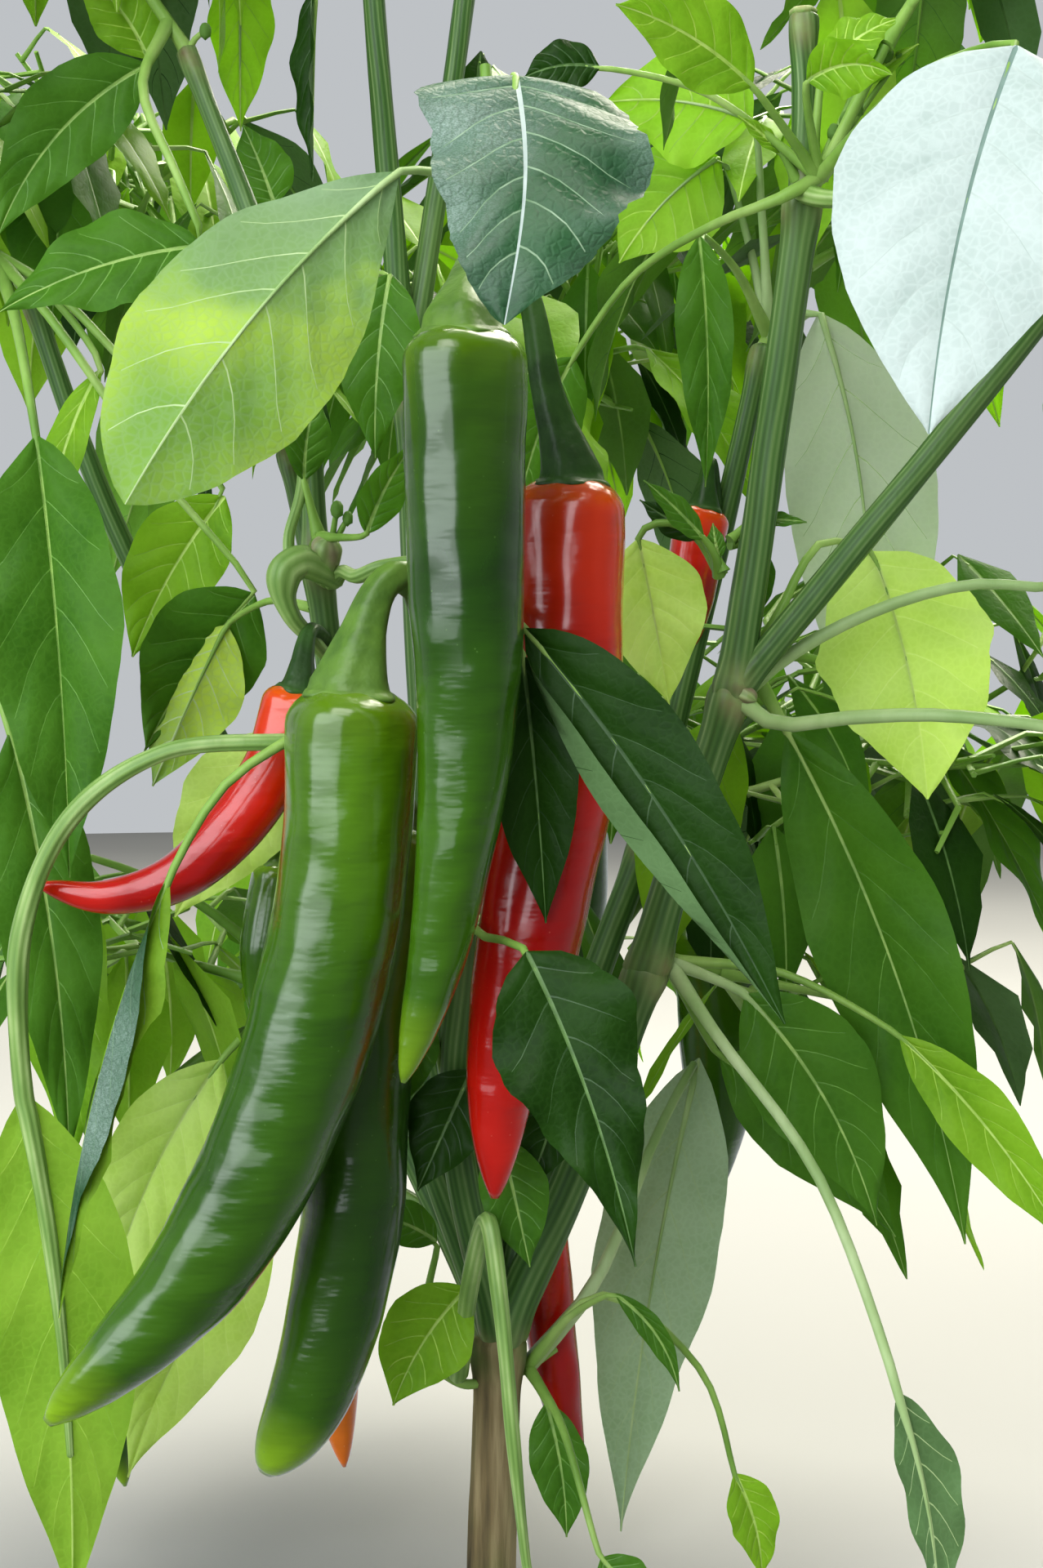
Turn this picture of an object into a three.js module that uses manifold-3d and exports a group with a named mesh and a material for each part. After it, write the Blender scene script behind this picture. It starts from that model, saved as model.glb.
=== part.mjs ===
// A chilli pepper plant in fruit: a woody foot that forks into green boughs, masses of leaves on
// twigs, and long smooth pods that hang from the boughs. Millimetres, +Z up, origin under the foot.
import * as THREE from "three";
import { mergeVertices } from "three/addons/utils/BufferGeometryUtils.js";
import Module from "manifold-3d";

const wasm = await Module();
wasm.setup();

// Driving dimensions
const gap = 0.3; // between a solid and the one that carries it
const footHeight = 72; // ground to the first fork
const footRadius = 6.3;
const flareRadius = 9.5; // at the ground
const knuckleSwell = 1.28; // a bough's tip is swollen where it forks
const knuckleLength = 5;
const flareTop = 0.08; // of the trunk's length
const limbSides = 5;
const limbStep = 42; // between the rings of a limb

const twigSides = 3;
const twigRadius = 2.0;
const twigTaper = 0.78; // from one twig to the next
const twigLength = 34;
const twigShorter = 0.86; // from one twig to the next
const leafPlaces = [[0.58, -1], [0.84, 1]]; // along a twig, and on which side
const stalkRadius = 1.2; // of a leaf's own stalk
const stalkArch = 0.1; // rise of the stalk's middle, of its length
const shortStalk = 36; // and below this it is straight
const rootSunk = 1.2; // the point of a twig or stalk past the middle of what carries it

const bladeThickness = 0.016; // of the blade's length
const bladeOutline = [[0.27, 0.94], [0.6, 0.84]]; // between its stalk and its tip
const bladeSpacing = 8; // between the points at which a blade is tested
const stalkSpacing = 5; // and a stalk, from the second point to the last but one
const leafRoom = 5.5; // kept between two leaves
const limbRoom = 2.4; // kept between a leaf and a limb or pod
const ballSpacing = 4; // between the balls by which a limb or pod is tested

const podSides = 7;
const podOutline = [[0, 0], [0.015, 0.82], [0.08, 1], [0.42, 0.98], [0.68, 0.82], [0.89, 0.46], [1, 0]];
const podStalkSides = 5;
const podStalkRadius = 2.3;
const podCap = 0.62; // radius of the cap, of the pod's

// Round the pods the crown is open at the front, in a wedge that narrows towards this point.
const openFront = { x: 8, y: -600, z: 253, across: 0.235, up: 0.275, down: 0.41, depth: -32 };

// The foot and the boughs, each from the tip of the one that carries it
const limbs = [
  { name: "trunk", route: [[0, 0, 0], [0, 0, 12], [1, 0, 40], [2, 0, footHeight]], radii: [footRadius, 6] },

  { name: "bough_right_low", on: "trunk", route: [[22, -5, 119], [39.5, -8, 170]], radii: [5.2, 4.9] },
  { name: "bough_right_middle", on: "bough_right_low", route: [[52, -10, 214], [61, -12, 241]],
    radii: [4.8, 4.7] },
  { name: "bough_right_upper", on: "bough_right_middle", route: [[68, -16, 291], [77, -20, 362]],
    radii: [4.5, 4.1] },
  { name: "bough_right_stub", on: "bough_right_upper", route: [[76.5, -20.5, 405]], radii: [3.1, 3] },
  { name: "bough_right_outer", on: "bough_right_middle",
    route: [[91, -20, 278], [134, -30, 333], [155, -38, 362]], radii: [3.7, 3] },

  { name: "bough_front_low", on: "trunk", route: [[-8, -22, 130], [-6, -38, 190], [-4, -45, 260]],
    radii: [4.2, 3.5] },
  { name: "bough_front_high", on: "bough_front_low", route: [[-2, -46, 305], [2, -45, 352]],
    radii: [3.3, 2.8] },

  { name: "bough_left_low", on: "trunk", route: [[-24, -4, 150], [-37, -20, 230]], radii: [4.1, 3.7] },
  { name: "bough_left_middle", on: "bough_left_low", route: [[-42, -25, 273]], radii: [3.6, 3.5] },
  { name: "bough_left_upper", on: "bough_left_middle", route: [[-46, -22, 320], [-75, -8, 400]],
    radii: [2.9, 2.3] },

  { name: "bough_outer_low", on: "trunk", route: [[-20, 12, 118], [-40, 22, 160]], radii: [4, 3.7] },
  { name: "bough_outer_high", on: "bough_outer_low",
    route: [[-75, 30, 230], [-105, 30, 295], [-122, 26, 345]], radii: [3.5, 2.6] },

  { name: "bough_centre", on: "trunk", route: [[-9, 10, 133], [-17.5, 18, 229], [-22, 22, 320]],
    radii: [4.4, 3.6] },
  { name: "bough_centre_left", on: "bough_centre", route: [[-29, 22, 400], [-33, 22, 460]],
    radii: [3.4, 2.7] },
  { name: "bough_centre_right", on: "bough_centre", route: [[-8, 38, 420], [-2, 46, 470]],
    radii: [3.1, 2.6] },

  { name: "bough_rear_right_low", on: "trunk", route: [[16, 18, 130], [42, 40, 200]], radii: [4.2, 3.8] },
  { name: "bough_rear_right_high", on: "bough_rear_right_low", route: [[60, 52, 270], [75, 58, 335]],
    radii: [3.6, 2.9] },
  { name: "bough_rear_low", on: "trunk", route: [[3, 26, 118], [4, 56, 165]], radii: [4, 3.6] },
  { name: "bough_rear_high", on: "bough_rear_low", route: [[8, 95, 235], [12, 120, 300]], radii: [3.4, 2.7] },
  { name: "bough_rear_left", on: "trunk", route: [[-18, 34, 140], [-42, 78, 225], [-62, 105, 310]],
    radii: [4, 2.7] },
];

// The pods: where each leaves its bough, the points of its stalk, and those of the pod from its top
const ripe = 0xb3150f;
const unripe = 0x3f7a22;
const turning = 0xd8661c;
const pods = [
  { name: "pod_green_front", on: "bough_front_high", at: 0.75, stalk: [[-3, -66, 338]],
    body: [[-5, -90, 322], [-4.5, -90, 280], [-4, -90, 233], [-10, -90, 187], [-18, -90, 157]], radius: 13.4,
    colour: unripe },
  { name: "pod_green_left", on: "bough_front_high", at: 0.3, stalk: [[-13, -62, 287], [-21, -74, 270]],
    body: [[-30, -75, 244], [-33, -75, 196], [-45, -75, 150], [-66, -75, 110], [-100, -75, 76]], radius: 14.6,
    colour: unripe },
  { name: "pod_green_low", on: "bough_left_low", at: 0.85, stalk: [[-28, -37, 226]],
    body: [[-23, -46, 212], [-30.5, -48, 154], [-32.5, -50, 115], [-42, -52, 76], [-53, -52, 56]],
    radius: 12.8, colour: unripe },
  { name: "pod_red_front", on: "bough_front_high", at: 0.95, stalk: [[9, -50, 336], [14, -54, 312]],
    body: [[19.5, -55, 292], [18, -55, 232], [10, -57, 186], [3, -59, 148], [1.7, -59, 124]], radius: 13,
    colour: ripe },
  { name: "pod_red_left", on: "bough_left_middle", at: 0.55, stalk: [[-43, -36, 256]],
    body: [[-45, -42, 243], [-52, -42, 222], [-72, -43, 199], [-91, -44, 193], [-107, -45, 196]], radius: 7.6,
    colour: ripe },
  { name: "pod_red_low", on: "bough_right_low", at: 0.35, stalk: [[12, 12, 134]],
    body: [[10.5, 18, 121], [14, 17, 85], [18.5, 16, 52], [24.5, 15, 27]], radius: 7.5, colour: ripe },
  { name: "pod_red_right", on: "bough_rear_right_high", at: 0.6, stalk: [[60, 50, 303]],
    body: [[58, 47, 291], [55, 46, 272], [55, 47, 252]], radius: 7.5, colour: ripe },
  { name: "pod_green_small", on: "bough_left_low", at: 0.72, stalk: [[-44, -8, 212]],
    body: [[-53, -8, 198], [-57, -9, 172], [-55, -10, 148]], radius: 7, colour: unripe },
  { name: "pod_green_far_left", on: "bough_outer_low", at: 0.9, stalk: [[-66, 30, 148], [-96, 34, 124]],
    body: [[-108, 34, 98], [-108, 34, 62], [-101, 32, 22]], radius: 10, colour: unripe },
  { name: "pod_orange_low", on: "bough_outer_low", at: 0.35, stalk: [[-36, 28, 108]],
    body: [[-42, 34, 92], [-44, 36, 60], [-41, 36, 26]], radius: 8, colour: turning },
  { name: "pod_rear_green", on: "bough_rear_high", at: 0.5, stalk: [[14, 118, 250]],
    body: [[20, 128, 236], [22, 130, 180], [18, 130, 130], [8, 128, 96]], radius: 13, colour: unripe },
  { name: "pod_rear_red", on: "bough_rear_left", at: 0.62, stalk: [[-44, 98, 226]],
    body: [[-48, 108, 212], [-50, 112, 165], [-46, 114, 120], [-36, 114, 92]], radius: 12, colour: ripe },
  { name: "pod_rear_right", on: "bough_rear_right_low", at: 0.8, stalk: [[52, 60, 192]],
    body: [[62, 72, 178], [66, 80, 130], [62, 84, 84]], radius: 12, colour: unripe },
  { name: "pod_right_high", on: "bough_right_outer", at: 0.75, stalk: [[146, -12, 336]],
    body: [[152, 8, 322], [162, 16, 278], [166, 18, 236]], radius: 11, colour: unripe },
];

// The masses of leaves: each has one stem on a bough's tip, and its own space. Its placed leaves leave
// the stem at leafAt of its length: turn and rise point the stalk, swing turns the blade away from the
// stalk's turn, droop is the blade's fall, curl the bend over its length, roll its tilt to one side,
// and by the points that a long stalk passes.
const masses = [
  { name: "leaves_right_top", on: "bough_right_upper", foot: [80, -25, 366],
    stem: { turn: -20, rise: 62, length: 34 }, space: { at: [85, -30, 405], reach: [115, 125, 180] },
    forks: 2, seed: 11, leafAt: 0,
    leaves: [
      { turn: -130, rise: 30, stalk: 33, swing: -20, droop: -20, blade: 40, width: 22, curl: 30, roll: 85 },
      { turn: -105, rise: 40, stalk: 28, swing: 65, droop: 5, blade: 23, width: 15, curl: 60, roll: -60 },
      { turn: -65, rise: 10, stalk: 79, swing: -70, droop: 70, blade: 89, width: 43, curl: 25, roll: -30 },
      { turn: -175, rise: 25, stalk: 59, swing: 5, droop: 10, blade: 19, width: 14, curl: 40, roll: 110,
        by: [[52, -26, 386]] },
      { turn: 150, rise: -30, stalk: 78, swing: 30, droop: 70, blade: 42, width: 20, curl: 20, roll: 80,
        by: [[70, -30, 360], [56, -20, 356], [36, 0, 346]] },
    ] },
  { name: "leaves_right_outer", on: "bough_right_outer",
    stem: { turn: -10, rise: 45, length: 26 }, space: { at: [175, -30, 375], reach: [90, 95, 115] },
    forks: 3, seed: 23, leafAt: 0, leaves: [] },
  { name: "leaves_right_middle", on: "bough_right_middle", foot: [64, -9, 246],
    stem: { turn: 60, rise: 12, length: 24 }, space: { at: [115, -10, 225], reach: [105, 95, 145] },
    forks: 1, seed: 31, leafAt: 0.2,
    leaves: [
      { turn: -15, rise: 15, stalk: 77, swing: 35, droop: 20, blade: 52, width: 28, curl: 40, roll: -35 },
      { turn: -30, rise: -10, stalk: 81, swing: 10, droop: 30, blade: 48, width: 29, curl: 40, roll: 35 },
      { turn: 25, rise: 40, stalk: 47, swing: -65, droop: 75, blade: 66, width: 44, curl: 20, roll: 60 },
      { turn: 30, rise: -55, stalk: 19, swing: -50, droop: 70, blade: 138, width: 33, curl: 20, roll: 85 },
      { turn: 95, rise: -25, stalk: 30, swing: 95, droop: 75, blade: 71, width: 28, curl: 30, roll: -85 },
    ] },
  { name: "leaves_right_low", on: "bough_right_low", foot: [43, -4, 173],
    stem: { turn: 30, rise: -15, length: 20 }, space: { at: [90, -25, 115], reach: [95, 95, 125] },
    forks: 1, seed: 43, leafAt: 0.15,
    leaves: [
      { turn: -40, rise: -15, stalk: 25, swing: 30, droop: 60, blade: 66, width: 31, curl: 30, roll: 80 },
      { turn: 40, rise: -55, stalk: 33, swing: -50, droop: 45, blade: 65, width: 26, curl: 30, roll: 90 },
      { turn: -20, rise: -15, stalk: 62, swing: 0, droop: 50, blade: 65, width: 18, curl: 20, roll: 85 },
      { turn: -50, rise: -50, stalk: 122, swing: 35, droop: 80, blade: 56, width: 19, curl: 20, roll: 100,
        by: [[56, -25, 157], [79, -45, 126]] },
    ] },
  { name: "leaves_foot_right", on: "trunk", foot: [7, 3, 63],
    stem: { turn: 25, rise: 25, length: 12 }, space: { at: [50, 5, 85], reach: [100, 100, 100] },
    forks: 0, seed: 53, leafAt: 0.25,
    leaves: [
      { turn: 40, rise: 50, stalk: 97, swing: 160, droop: 80, blade: 133, width: 30, curl: 10, roll: -70,
        by: [[27, 10, 84], [45, 26, 122]] },
      { turn: -40, rise: 40, stalk: 38, swing: 25, droop: 55, blade: 29, width: 7, curl: 50, roll: 90 },
      { turn: -10, rise: -25, stalk: 60, swing: 0, droop: 75, blade: 28, width: 14, curl: 30, roll: 60,
        by: [[29, -6, 86], [54, -8, 67]] },
      { turn: -65, rise: -40, stalk: 56, swing: 35, droop: 50, blade: 21, width: 14, curl: 30, roll: 60,
        by: [[18, -14, 55]] },
      { turn: -60, rise: -35, stalk: 12, swing: 30, droop: 80, blade: 35, width: 16, curl: 20, roll: 70 },
    ] },
  { name: "leaves_foot_left", on: "trunk", foot: [-6, -4, 62],
    stem: { turn: -160, rise: 30, length: 10 }, space: { at: [-15, -25, 80], reach: [80, 80, 100] },
    forks: 0, seed: 59, leafAt: 0.3,
    leaves: [
      { turn: -80, rise: 60, stalk: 33, swing: -80, droop: 55, blade: 34, width: 24, curl: 30, roll: -65 },
      { turn: -110, rise: 70, stalk: 42, swing: -65, droop: -20, blade: 21, width: 12, curl: 40, roll: -60,
        by: [[-16, -12, 84]] },
      { turn: -70, rise: -30, stalk: 60, swing: 10, droop: 70, blade: 24, width: 11, curl: 30, roll: 30,
        by: [[-4, -34, 100], [0, -50, 116], [3, -54, 98], [6, -56, 66]] },
    ] },
  { name: "leaves_front", on: "bough_front_low", foot: [-4, -49, 263],
    stem: { turn: -80, rise: 25, length: 8 }, space: { at: [20, -75, 200], reach: [80, 70, 115] },
    forks: 0, seed: 61, leafAt: 0.4,
    leaves: [
      { turn: -65, rise: -15, stalk: 30, swing: 45, droop: 55, blade: 104, width: 30, curl: 15, roll: 90 },
      { turn: -60, rise: -30, stalk: 27, swing: 60, droop: 85, blade: 61, width: 14, curl: 4, roll: -90 },
      { turn: -70, rise: -65, stalk: 87, swing: 30, droop: 65, blade: 72, width: 32, curl: 20, roll: 50,
        by: [[-5, -68, 214]] },
    ] },
  { name: "leaves_front_top", on: "bough_front_high", foot: [1, -45, 357],
    stem: { turn: 100, rise: 75, length: 34 }, space: { at: [-20, -60, 390], reach: [125, 110, 165] },
    forks: 2, seed: 67, leafAt: 0.12,
    leaves: [
      { turn: -83, rise: 15, stalk: 51, swing: -12, droop: 65, blade: 62, width: 49, curl: 35, roll: -5 },
      { turn: -125, rise: -5, stalk: 35, swing: -30, droop: 50, blade: 98, width: 43, curl: 20, roll: -70 },
    ] },
  { name: "leaves_left_knuckle", on: "bough_left_middle", foot: [-42, -29, 277],
    stem: { turn: -75, rise: 20, length: 7 }, space: { at: [-36, -42, 290], reach: [50, 45, 50] },
    forks: 0, seed: 71, leafAt: 0.75,
    leaves: [
      { turn: -55, rise: 0, stalk: 22, swing: 20, droop: -55, blade: 25, width: 11, curl: 25, roll: -35 },
      { turn: -165, rise: 75, stalk: 14, swing: -140, droop: -75, blade: 23, width: 12, curl: 30, roll: 60 },
    ] },
  { name: "leaves_left_front", on: "bough_left_low", foot: [-38, -24, 234],
    stem: { turn: -88, rise: 0, length: 18 }, space: { at: [-82, -48, 130], reach: [85, 65, 140] },
    forks: 0, seed: 73, leafAt: 1,
    leaves: [
      { turn: -175, rise: -50, stalk: 114, swing: 160, droop: 85, blade: 126, width: 37, curl: 15, roll: 70,
        by: [[-43, -54, 231], [-75, -56, 228], [-97, -54, 213], [-110, -50, 185]] },
      { turn: -150, rise: -40, stalk: 54, swing: -5, droop: 75, blade: 103, width: 15, curl: 20, roll: -45,
        by: [[-42, -55, 233], [-60, -62, 221]] },
    ] },
  { name: "leaves_left_top", on: "bough_left_upper",
    stem: { turn: 165, rise: 55, length: 30 }, space: { at: [-108, -5, 425], reach: [90, 90, 130] },
    forks: 2, seed: 79, leafAt: 0.3,
    leaves: [
      { turn: -65, rise: -65, stalk: 65, swing: -100, droop: 20, blade: 51, width: 26, curl: 25, roll: 115,
        by: [[-84, -22, 388], [-74, -30, 364]] },
      { turn: -130, rise: -60, stalk: 13, swing: -30, droop: 50, blade: 58, width: 24, curl: 40, roll: 100 },
      { turn: 130, rise: -35, stalk: 12, swing: 50, droop: -50, blade: 30, width: 18, curl: 40, roll: 100 },
    ] },
  { name: "leaves_left_outer", on: "bough_outer_high",
    stem: { turn: 175, rise: 50, length: 28 }, space: { at: [-135, 15, 280], reach: [100, 100, 185] },
    forks: 2, seed: 83, leafAt: 0.5,
    leaves: [
      { turn: -65, rise: -50, stalk: 66, swing: 0, droop: 75, blade: 112, width: 38, curl: 25, roll: 25 },
      { turn: -75, rise: -70, stalk: 132, swing: 40, droop: 80, blade: 109, width: 26, curl: 20, roll: 35,
        by: [[-140, 8, 330], [-136, -6, 280]] },
      { turn: -35, rise: -40, stalk: 50, swing: -110, droop: 75, blade: 59, width: 12, curl: 35, roll: -35 },
      { turn: -15, rise: -45, stalk: 91, swing: -155, droop: 60, blade: 48, width: 26, curl: 20, roll: -80,
        by: [[-110, 12, 342]] },
      { turn: -20, rise: -50, stalk: 117, swing: -150, droop: 55, blade: 49, width: 31, curl: 20, roll: -100,
        by: [[-112, 4, 336], [-84, 2, 296]] },
    ] },
  { name: "leaves_left_low", on: "bough_outer_low", foot: [-43, 20, 163],
    stem: { turn: -165, rise: 5, length: 22 }, space: { at: [-98, 15, 125], reach: [90, 95, 115] },
    forks: 2, seed: 89, leafAt: 0.42,
    leaves: [
      { turn: -145, rise: -40, stalk: 29, swing: -25, droop: 65, blade: 72, width: 28, curl: 25, roll: -85 },
      { turn: -100, rise: -65, stalk: 62, swing: -60, droop: 60, blade: 74, width: 29, curl: 25, roll: -70 },
      { turn: -170, rise: 30, stalk: 69, swing: 95, droop: 80, blade: 80, width: 25, curl: 25, roll: 25 },
    ] },
  { name: "leaves_centre_low", on: "bough_centre", foot: [-24, 24, 326],
    stem: { turn: 130, rise: 20, length: 26 }, space: { at: [-30, 45, 340], reach: [75, 75, 100] },
    forks: 1, seed: 97, leafAt: 0.42,
    leaves: [
      { turn: -145, rise: 50, stalk: 48, swing: -65, droop: -65, blade: 24, width: 16, curl: 10, roll: -60 },
      { turn: -80, rise: 30, stalk: 35, swing: -35, droop: 80, blade: 48, width: 21, curl: 25, roll: -20,
        by: [[-36, 16, 344]] },
    ] },
  { name: "leaves_centre_left", on: "bough_centre_left",
    stem: { turn: 150, rise: 62, length: 30 }, space: { at: [-55, 30, 465], reach: [90, 90, 115] },
    forks: 2, seed: 101, leafAt: 0.55,
    leaves: [
      { turn: 135, rise: -35, stalk: 50, swing: -30, droop: 85, blade: 51, width: 19, curl: 15, roll: 30 },
      { turn: -105, rise: -70, stalk: 59, swing: 15, droop: 85, blade: 49, width: 12, curl: 15, roll: 55 },
    ] },
  { name: "leaves_centre_right", on: "bough_centre_right",
    stem: { turn: 40, rise: 62, length: 32 }, space: { at: [20, 60, 475], reach: [105, 100, 115] },
    forks: 3, seed: 103, leafAt: 0, leaves: [] },
  { name: "leaves_rear_right_top", on: "bough_rear_right_high",
    stem: { turn: 35, rise: 55, length: 30 }, space: { at: [95, 70, 375], reach: [95, 95, 165] },
    forks: 2, seed: 107, leafAt: 0.15,
    leaves: [
      { turn: -105, rise: 60, stalk: 61, swing: -90, droop: -10, blade: 41, width: 33, curl: 30, roll: 90 },
      { turn: -135, rise: 65, stalk: 51, swing: -55, droop: 45, blade: 39, width: 33, curl: 30, roll: 100 },
      { turn: -120, rise: 25, stalk: 50, swing: 45, droop: 85, blade: 66, width: 17, curl: 30, roll: 30 },
      { turn: -60, rise: 10, stalk: 23, swing: 60, droop: 85, blade: 121, width: 38, curl: 30, roll: -90 },
    ] },
  { name: "leaves_rear_right_low", on: "bough_rear_right_low",
    stem: { turn: 30, rise: 20, length: 30 }, space: { at: [100, 80, 180], reach: [105, 105, 140] },
    forks: 3, seed: 109, leafAt: 0, leaves: [] },
  { name: "leaves_rear_top", on: "bough_rear_high",
    stem: { turn: 80, rise: 50, length: 32 }, space: { at: [20, 135, 330], reach: [110, 105, 145] },
    forks: 3, seed: 113, leafAt: 0, leaves: [] },
  { name: "leaves_rear_low", on: "bough_rear_low",
    stem: { turn: 95, rise: 10, length: 30 }, space: { at: [0, 115, 140], reach: [105, 100, 125] },
    forks: 3, seed: 127, leafAt: 0, leaves: [] },
  { name: "leaves_rear_left", on: "bough_rear_left",
    stem: { turn: 130, rise: 50, length: 32 }, space: { at: [-85, 115, 325], reach: [110, 110, 150] },
    forks: 3, seed: 131, leafAt: 0, leaves: [] },
];

const vector = (place) => new THREE.Vector3(...place);
const radians = THREE.MathUtils.degToRad;
const mix = THREE.MathUtils.lerp;

// A vector of the given length, turned from +X towards +Y and raised from the level.
function polar(turn, rise, length) {
  const level = length * Math.cos(radians(rise));
  return new THREE.Vector3(
    level * Math.cos(radians(turn)),
    level * Math.sin(radians(turn)),
    length * Math.sin(radians(rise)),
  );
}

// The seeded draw that the growth rule uses.
let drawn = 1;
function draw(low, high) {
  drawn = (drawn * 16807) % 2147483647;
  return low + (high - low) * (drawn / 2147483647);
}

// A frame at a place on a curve that runs ahead: two directions across it.
function frameAcross(at, ahead, side) {
  const up = side.clone().cross(ahead).normalize();
  return { at, side: ahead.clone().cross(up), up };
}

// Frames along a curve by its length. Past its ends the curve is straight.
function framesAlong(curve, side) {
  const length = curve.getLength();
  return (along) => {
    const inside = THREE.MathUtils.clamp(along, 0, 1);
    const ahead = curve.getTangentAt(inside);
    const at = curve.getPointAt(inside).addScaledVector(ahead, (along - inside) * length);
    return frameAcross(at, ahead, side);
  };
}

// A level direction across a route, or +X where the route is almost upright.
function levelAcross(points) {
  const chord = points.at(-1).clone().sub(points[0]).normalize();
  return Math.abs(chord.z) > 0.97 ? vector([1, 0, 0]) : vector([0, 0, 1]).cross(chord).normalize();
}

// Turns a profile of [place along, radius] pairs round its axis and bends it along the frames.
function bend(profile, sides, frameAt) {
  const outline = profile.map(([along, radius]) => new THREE.Vector2(radius, along));
  const turned = new THREE.LatheGeometry(outline, sides);
  turned.deleteAttribute("normal");
  turned.deleteAttribute("uv");
  const shape = mergeVertices(turned);
  const places = shape.attributes.position;
  for (let i = 0; i < places.count; i += 1) {
    const { at, side, up } = frameAt(places.getY(i));
    at.addScaledVector(side, places.getX(i)).addScaledVector(up, places.getZ(i));
    places.setXYZ(i, at.x, at.y, at.z);
  }
  return solid(shape);
}

// The closed solid of a merged mesh. Faces that shrank to a line at a pole are dropped.
function solid(shape) {
  const faces = [];
  const index = shape.index.array;
  for (let i = 0; i < index.length; i += 3) {
    const [a, b, c] = index.slice(i, i + 3);
    if (a !== b && b !== c && c !== a) {
      faces.push(a, b, c);
    }
  }
  const mesh = new wasm.Mesh({
    numProp: 3,
    vertProperties: new Float32Array(shape.attributes.position.array),
    triVerts: new Uint32Array(faces),
  });
  const whole = new wasm.Manifold(mesh);
  if (whole.volume() > 0) {
    return whole;
  }
  mesh.triVerts = new Uint32Array(faces.reverse());
  return new wasm.Manifold(mesh);
}

// The largest piece of a solid: a cut may leave a loose scrap.
function largest(whole) {
  const pieces = whole.decompose();
  return pieces.reduce((best, piece) => (piece.volume() > best.volume() ? piece : best));
}

const group = new THREE.Group();
group.name = "chilli_pepper_plant";

function addNode(name, whole, colour, roughness) {
  const { vertProperties, triVerts } = whole.getMesh();
  const shape = new THREE.BufferGeometry();
  shape.setAttribute("position", new THREE.BufferAttribute(vertProperties, 3));
  shape.setIndex(new THREE.BufferAttribute(triVerts, 1));
  shape.computeVertexNormals();
  const surface = new THREE.MeshStandardMaterial({ color: colour, roughness, metalness: 0 });
  const mesh = new THREE.Mesh(shape, surface);
  mesh.name = name;
  group.add(mesh);
}

// What the leaves keep clear of: balls along every limb and pod, and the points tested on each leaf
const balls = [];
const tested = [];

function addBalls(curve, radiusAt) {
  const steps = Math.ceil(curve.getLength() / ballSpacing);
  for (let i = 0; i <= steps; i += 1) {
    balls.push({ at: curve.getPointAt(i / steps), radius: radiusAt(i / steps) });
  }
}

// Limbs
const grown = {};

function limbProfile(length, [root, tip]) {
  const steps = Math.max(1, Math.round((length - knuckleLength) / limbStep));
  const profile = [[0, 0]];
  for (let i = 0; i <= steps; i += 1) {
    const along = (i / steps) * (1 - (2 * knuckleLength) / length);
    profile.push([along, mix(root, tip, along)]);
  }
  profile.push([1 - knuckleLength / length, tip * knuckleSwell]);
  profile.push([1, tip * 0.8], [1, 0]);
  return profile;
}

function widened(profile, length) {
  return profile.map(([along, radius]) => {
    const end = along <= 0 ? -gap : 0;
    const over = along >= 1 ? gap : 0;
    return [along + (end + over) / length, radius > 0 ? radius + gap : 0];
  });
}

function growLimb({ name, on, route, radii }) {
  const start = on ? [grown[on].tip] : [];
  const points = [...start, ...route.map(vector)];
  const curve = new THREE.CatmullRomCurve3(points);
  const length = curve.getLength();
  const frames = framesAlong(curve, levelAcross(points));
  const profile = limbProfile(length, radii);
  if (name === "trunk") {
    profile[1][1] = flareRadius;
    profile.splice(2, 0, [flareTop, mix(flareRadius, footRadius, 0.7)]);
  }
  const room = bend(widened(profile, length), limbSides, frames);
  const whole = cutClear(bend(profile, limbSides, frames));
  grown[name] = { curve, room, tip: points.at(-1) };
  addNode(name, whole, name === "trunk" ? 0x7d6b4a : 0x4f7a35, 0.7);
  addBalls(curve, (along) => mix(...radii, along));
}

// Cuts a new solid clear of every limb that is already there.
function cutClear(whole) {
  let left = whole;
  for (const { room } of Object.values(grown)) {
    left = left.subtract(room);
  }
  return largest(left);
}

for (const limb of limbs) {
  growLimb(limb);
}

// Pods: a stalk that widens to its cap, fused to a tapering pod
function growPod({ name, on, at, stalk, body, radius, colour }) {
  const top = vector(body[0]);
  const inward = vector(body[1]).sub(top).setLength(radius * 0.3);
  const stalkPoints = [grown[on].curve.getPointAt(at), ...stalk.map(vector), top, top.clone().add(inward)];
  const stalkCurve = new THREE.CatmullRomCurve3(stalkPoints);
  const cap = radius * podCap;
  const stalkProfile = [
    [0, 0], [0, podStalkRadius], [0.45, podStalkRadius], [0.75, mix(podStalkRadius, cap, 0.4)],
    [0.92, cap], [1, 0],
  ];
  const bodyPoints = body.map(vector);
  const bodyCurve = new THREE.CatmullRomCurve3(bodyPoints);
  const bodyProfile = podOutline.map(([along, share]) => [along, share * radius]);
  const holder = bend(stalkProfile, podStalkSides, framesAlong(stalkCurve, levelAcross(stalkPoints)));
  const pod = bend(bodyProfile, podSides, framesAlong(bodyCurve, levelAcross(bodyPoints)));
  addNode(name, cutClear(holder.add(pod)), colour, 0.25);
  addBalls(stalkCurve, (along) => (along < 0.7 ? podStalkRadius : cap));
  addBalls(bodyCurve, (along) => (along < 0.55 ? radius : radius * mix(1, 0.2, (along - 0.55) / 0.45)));
}

for (const pod of pods) {
  growPod(pod);
}

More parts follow.
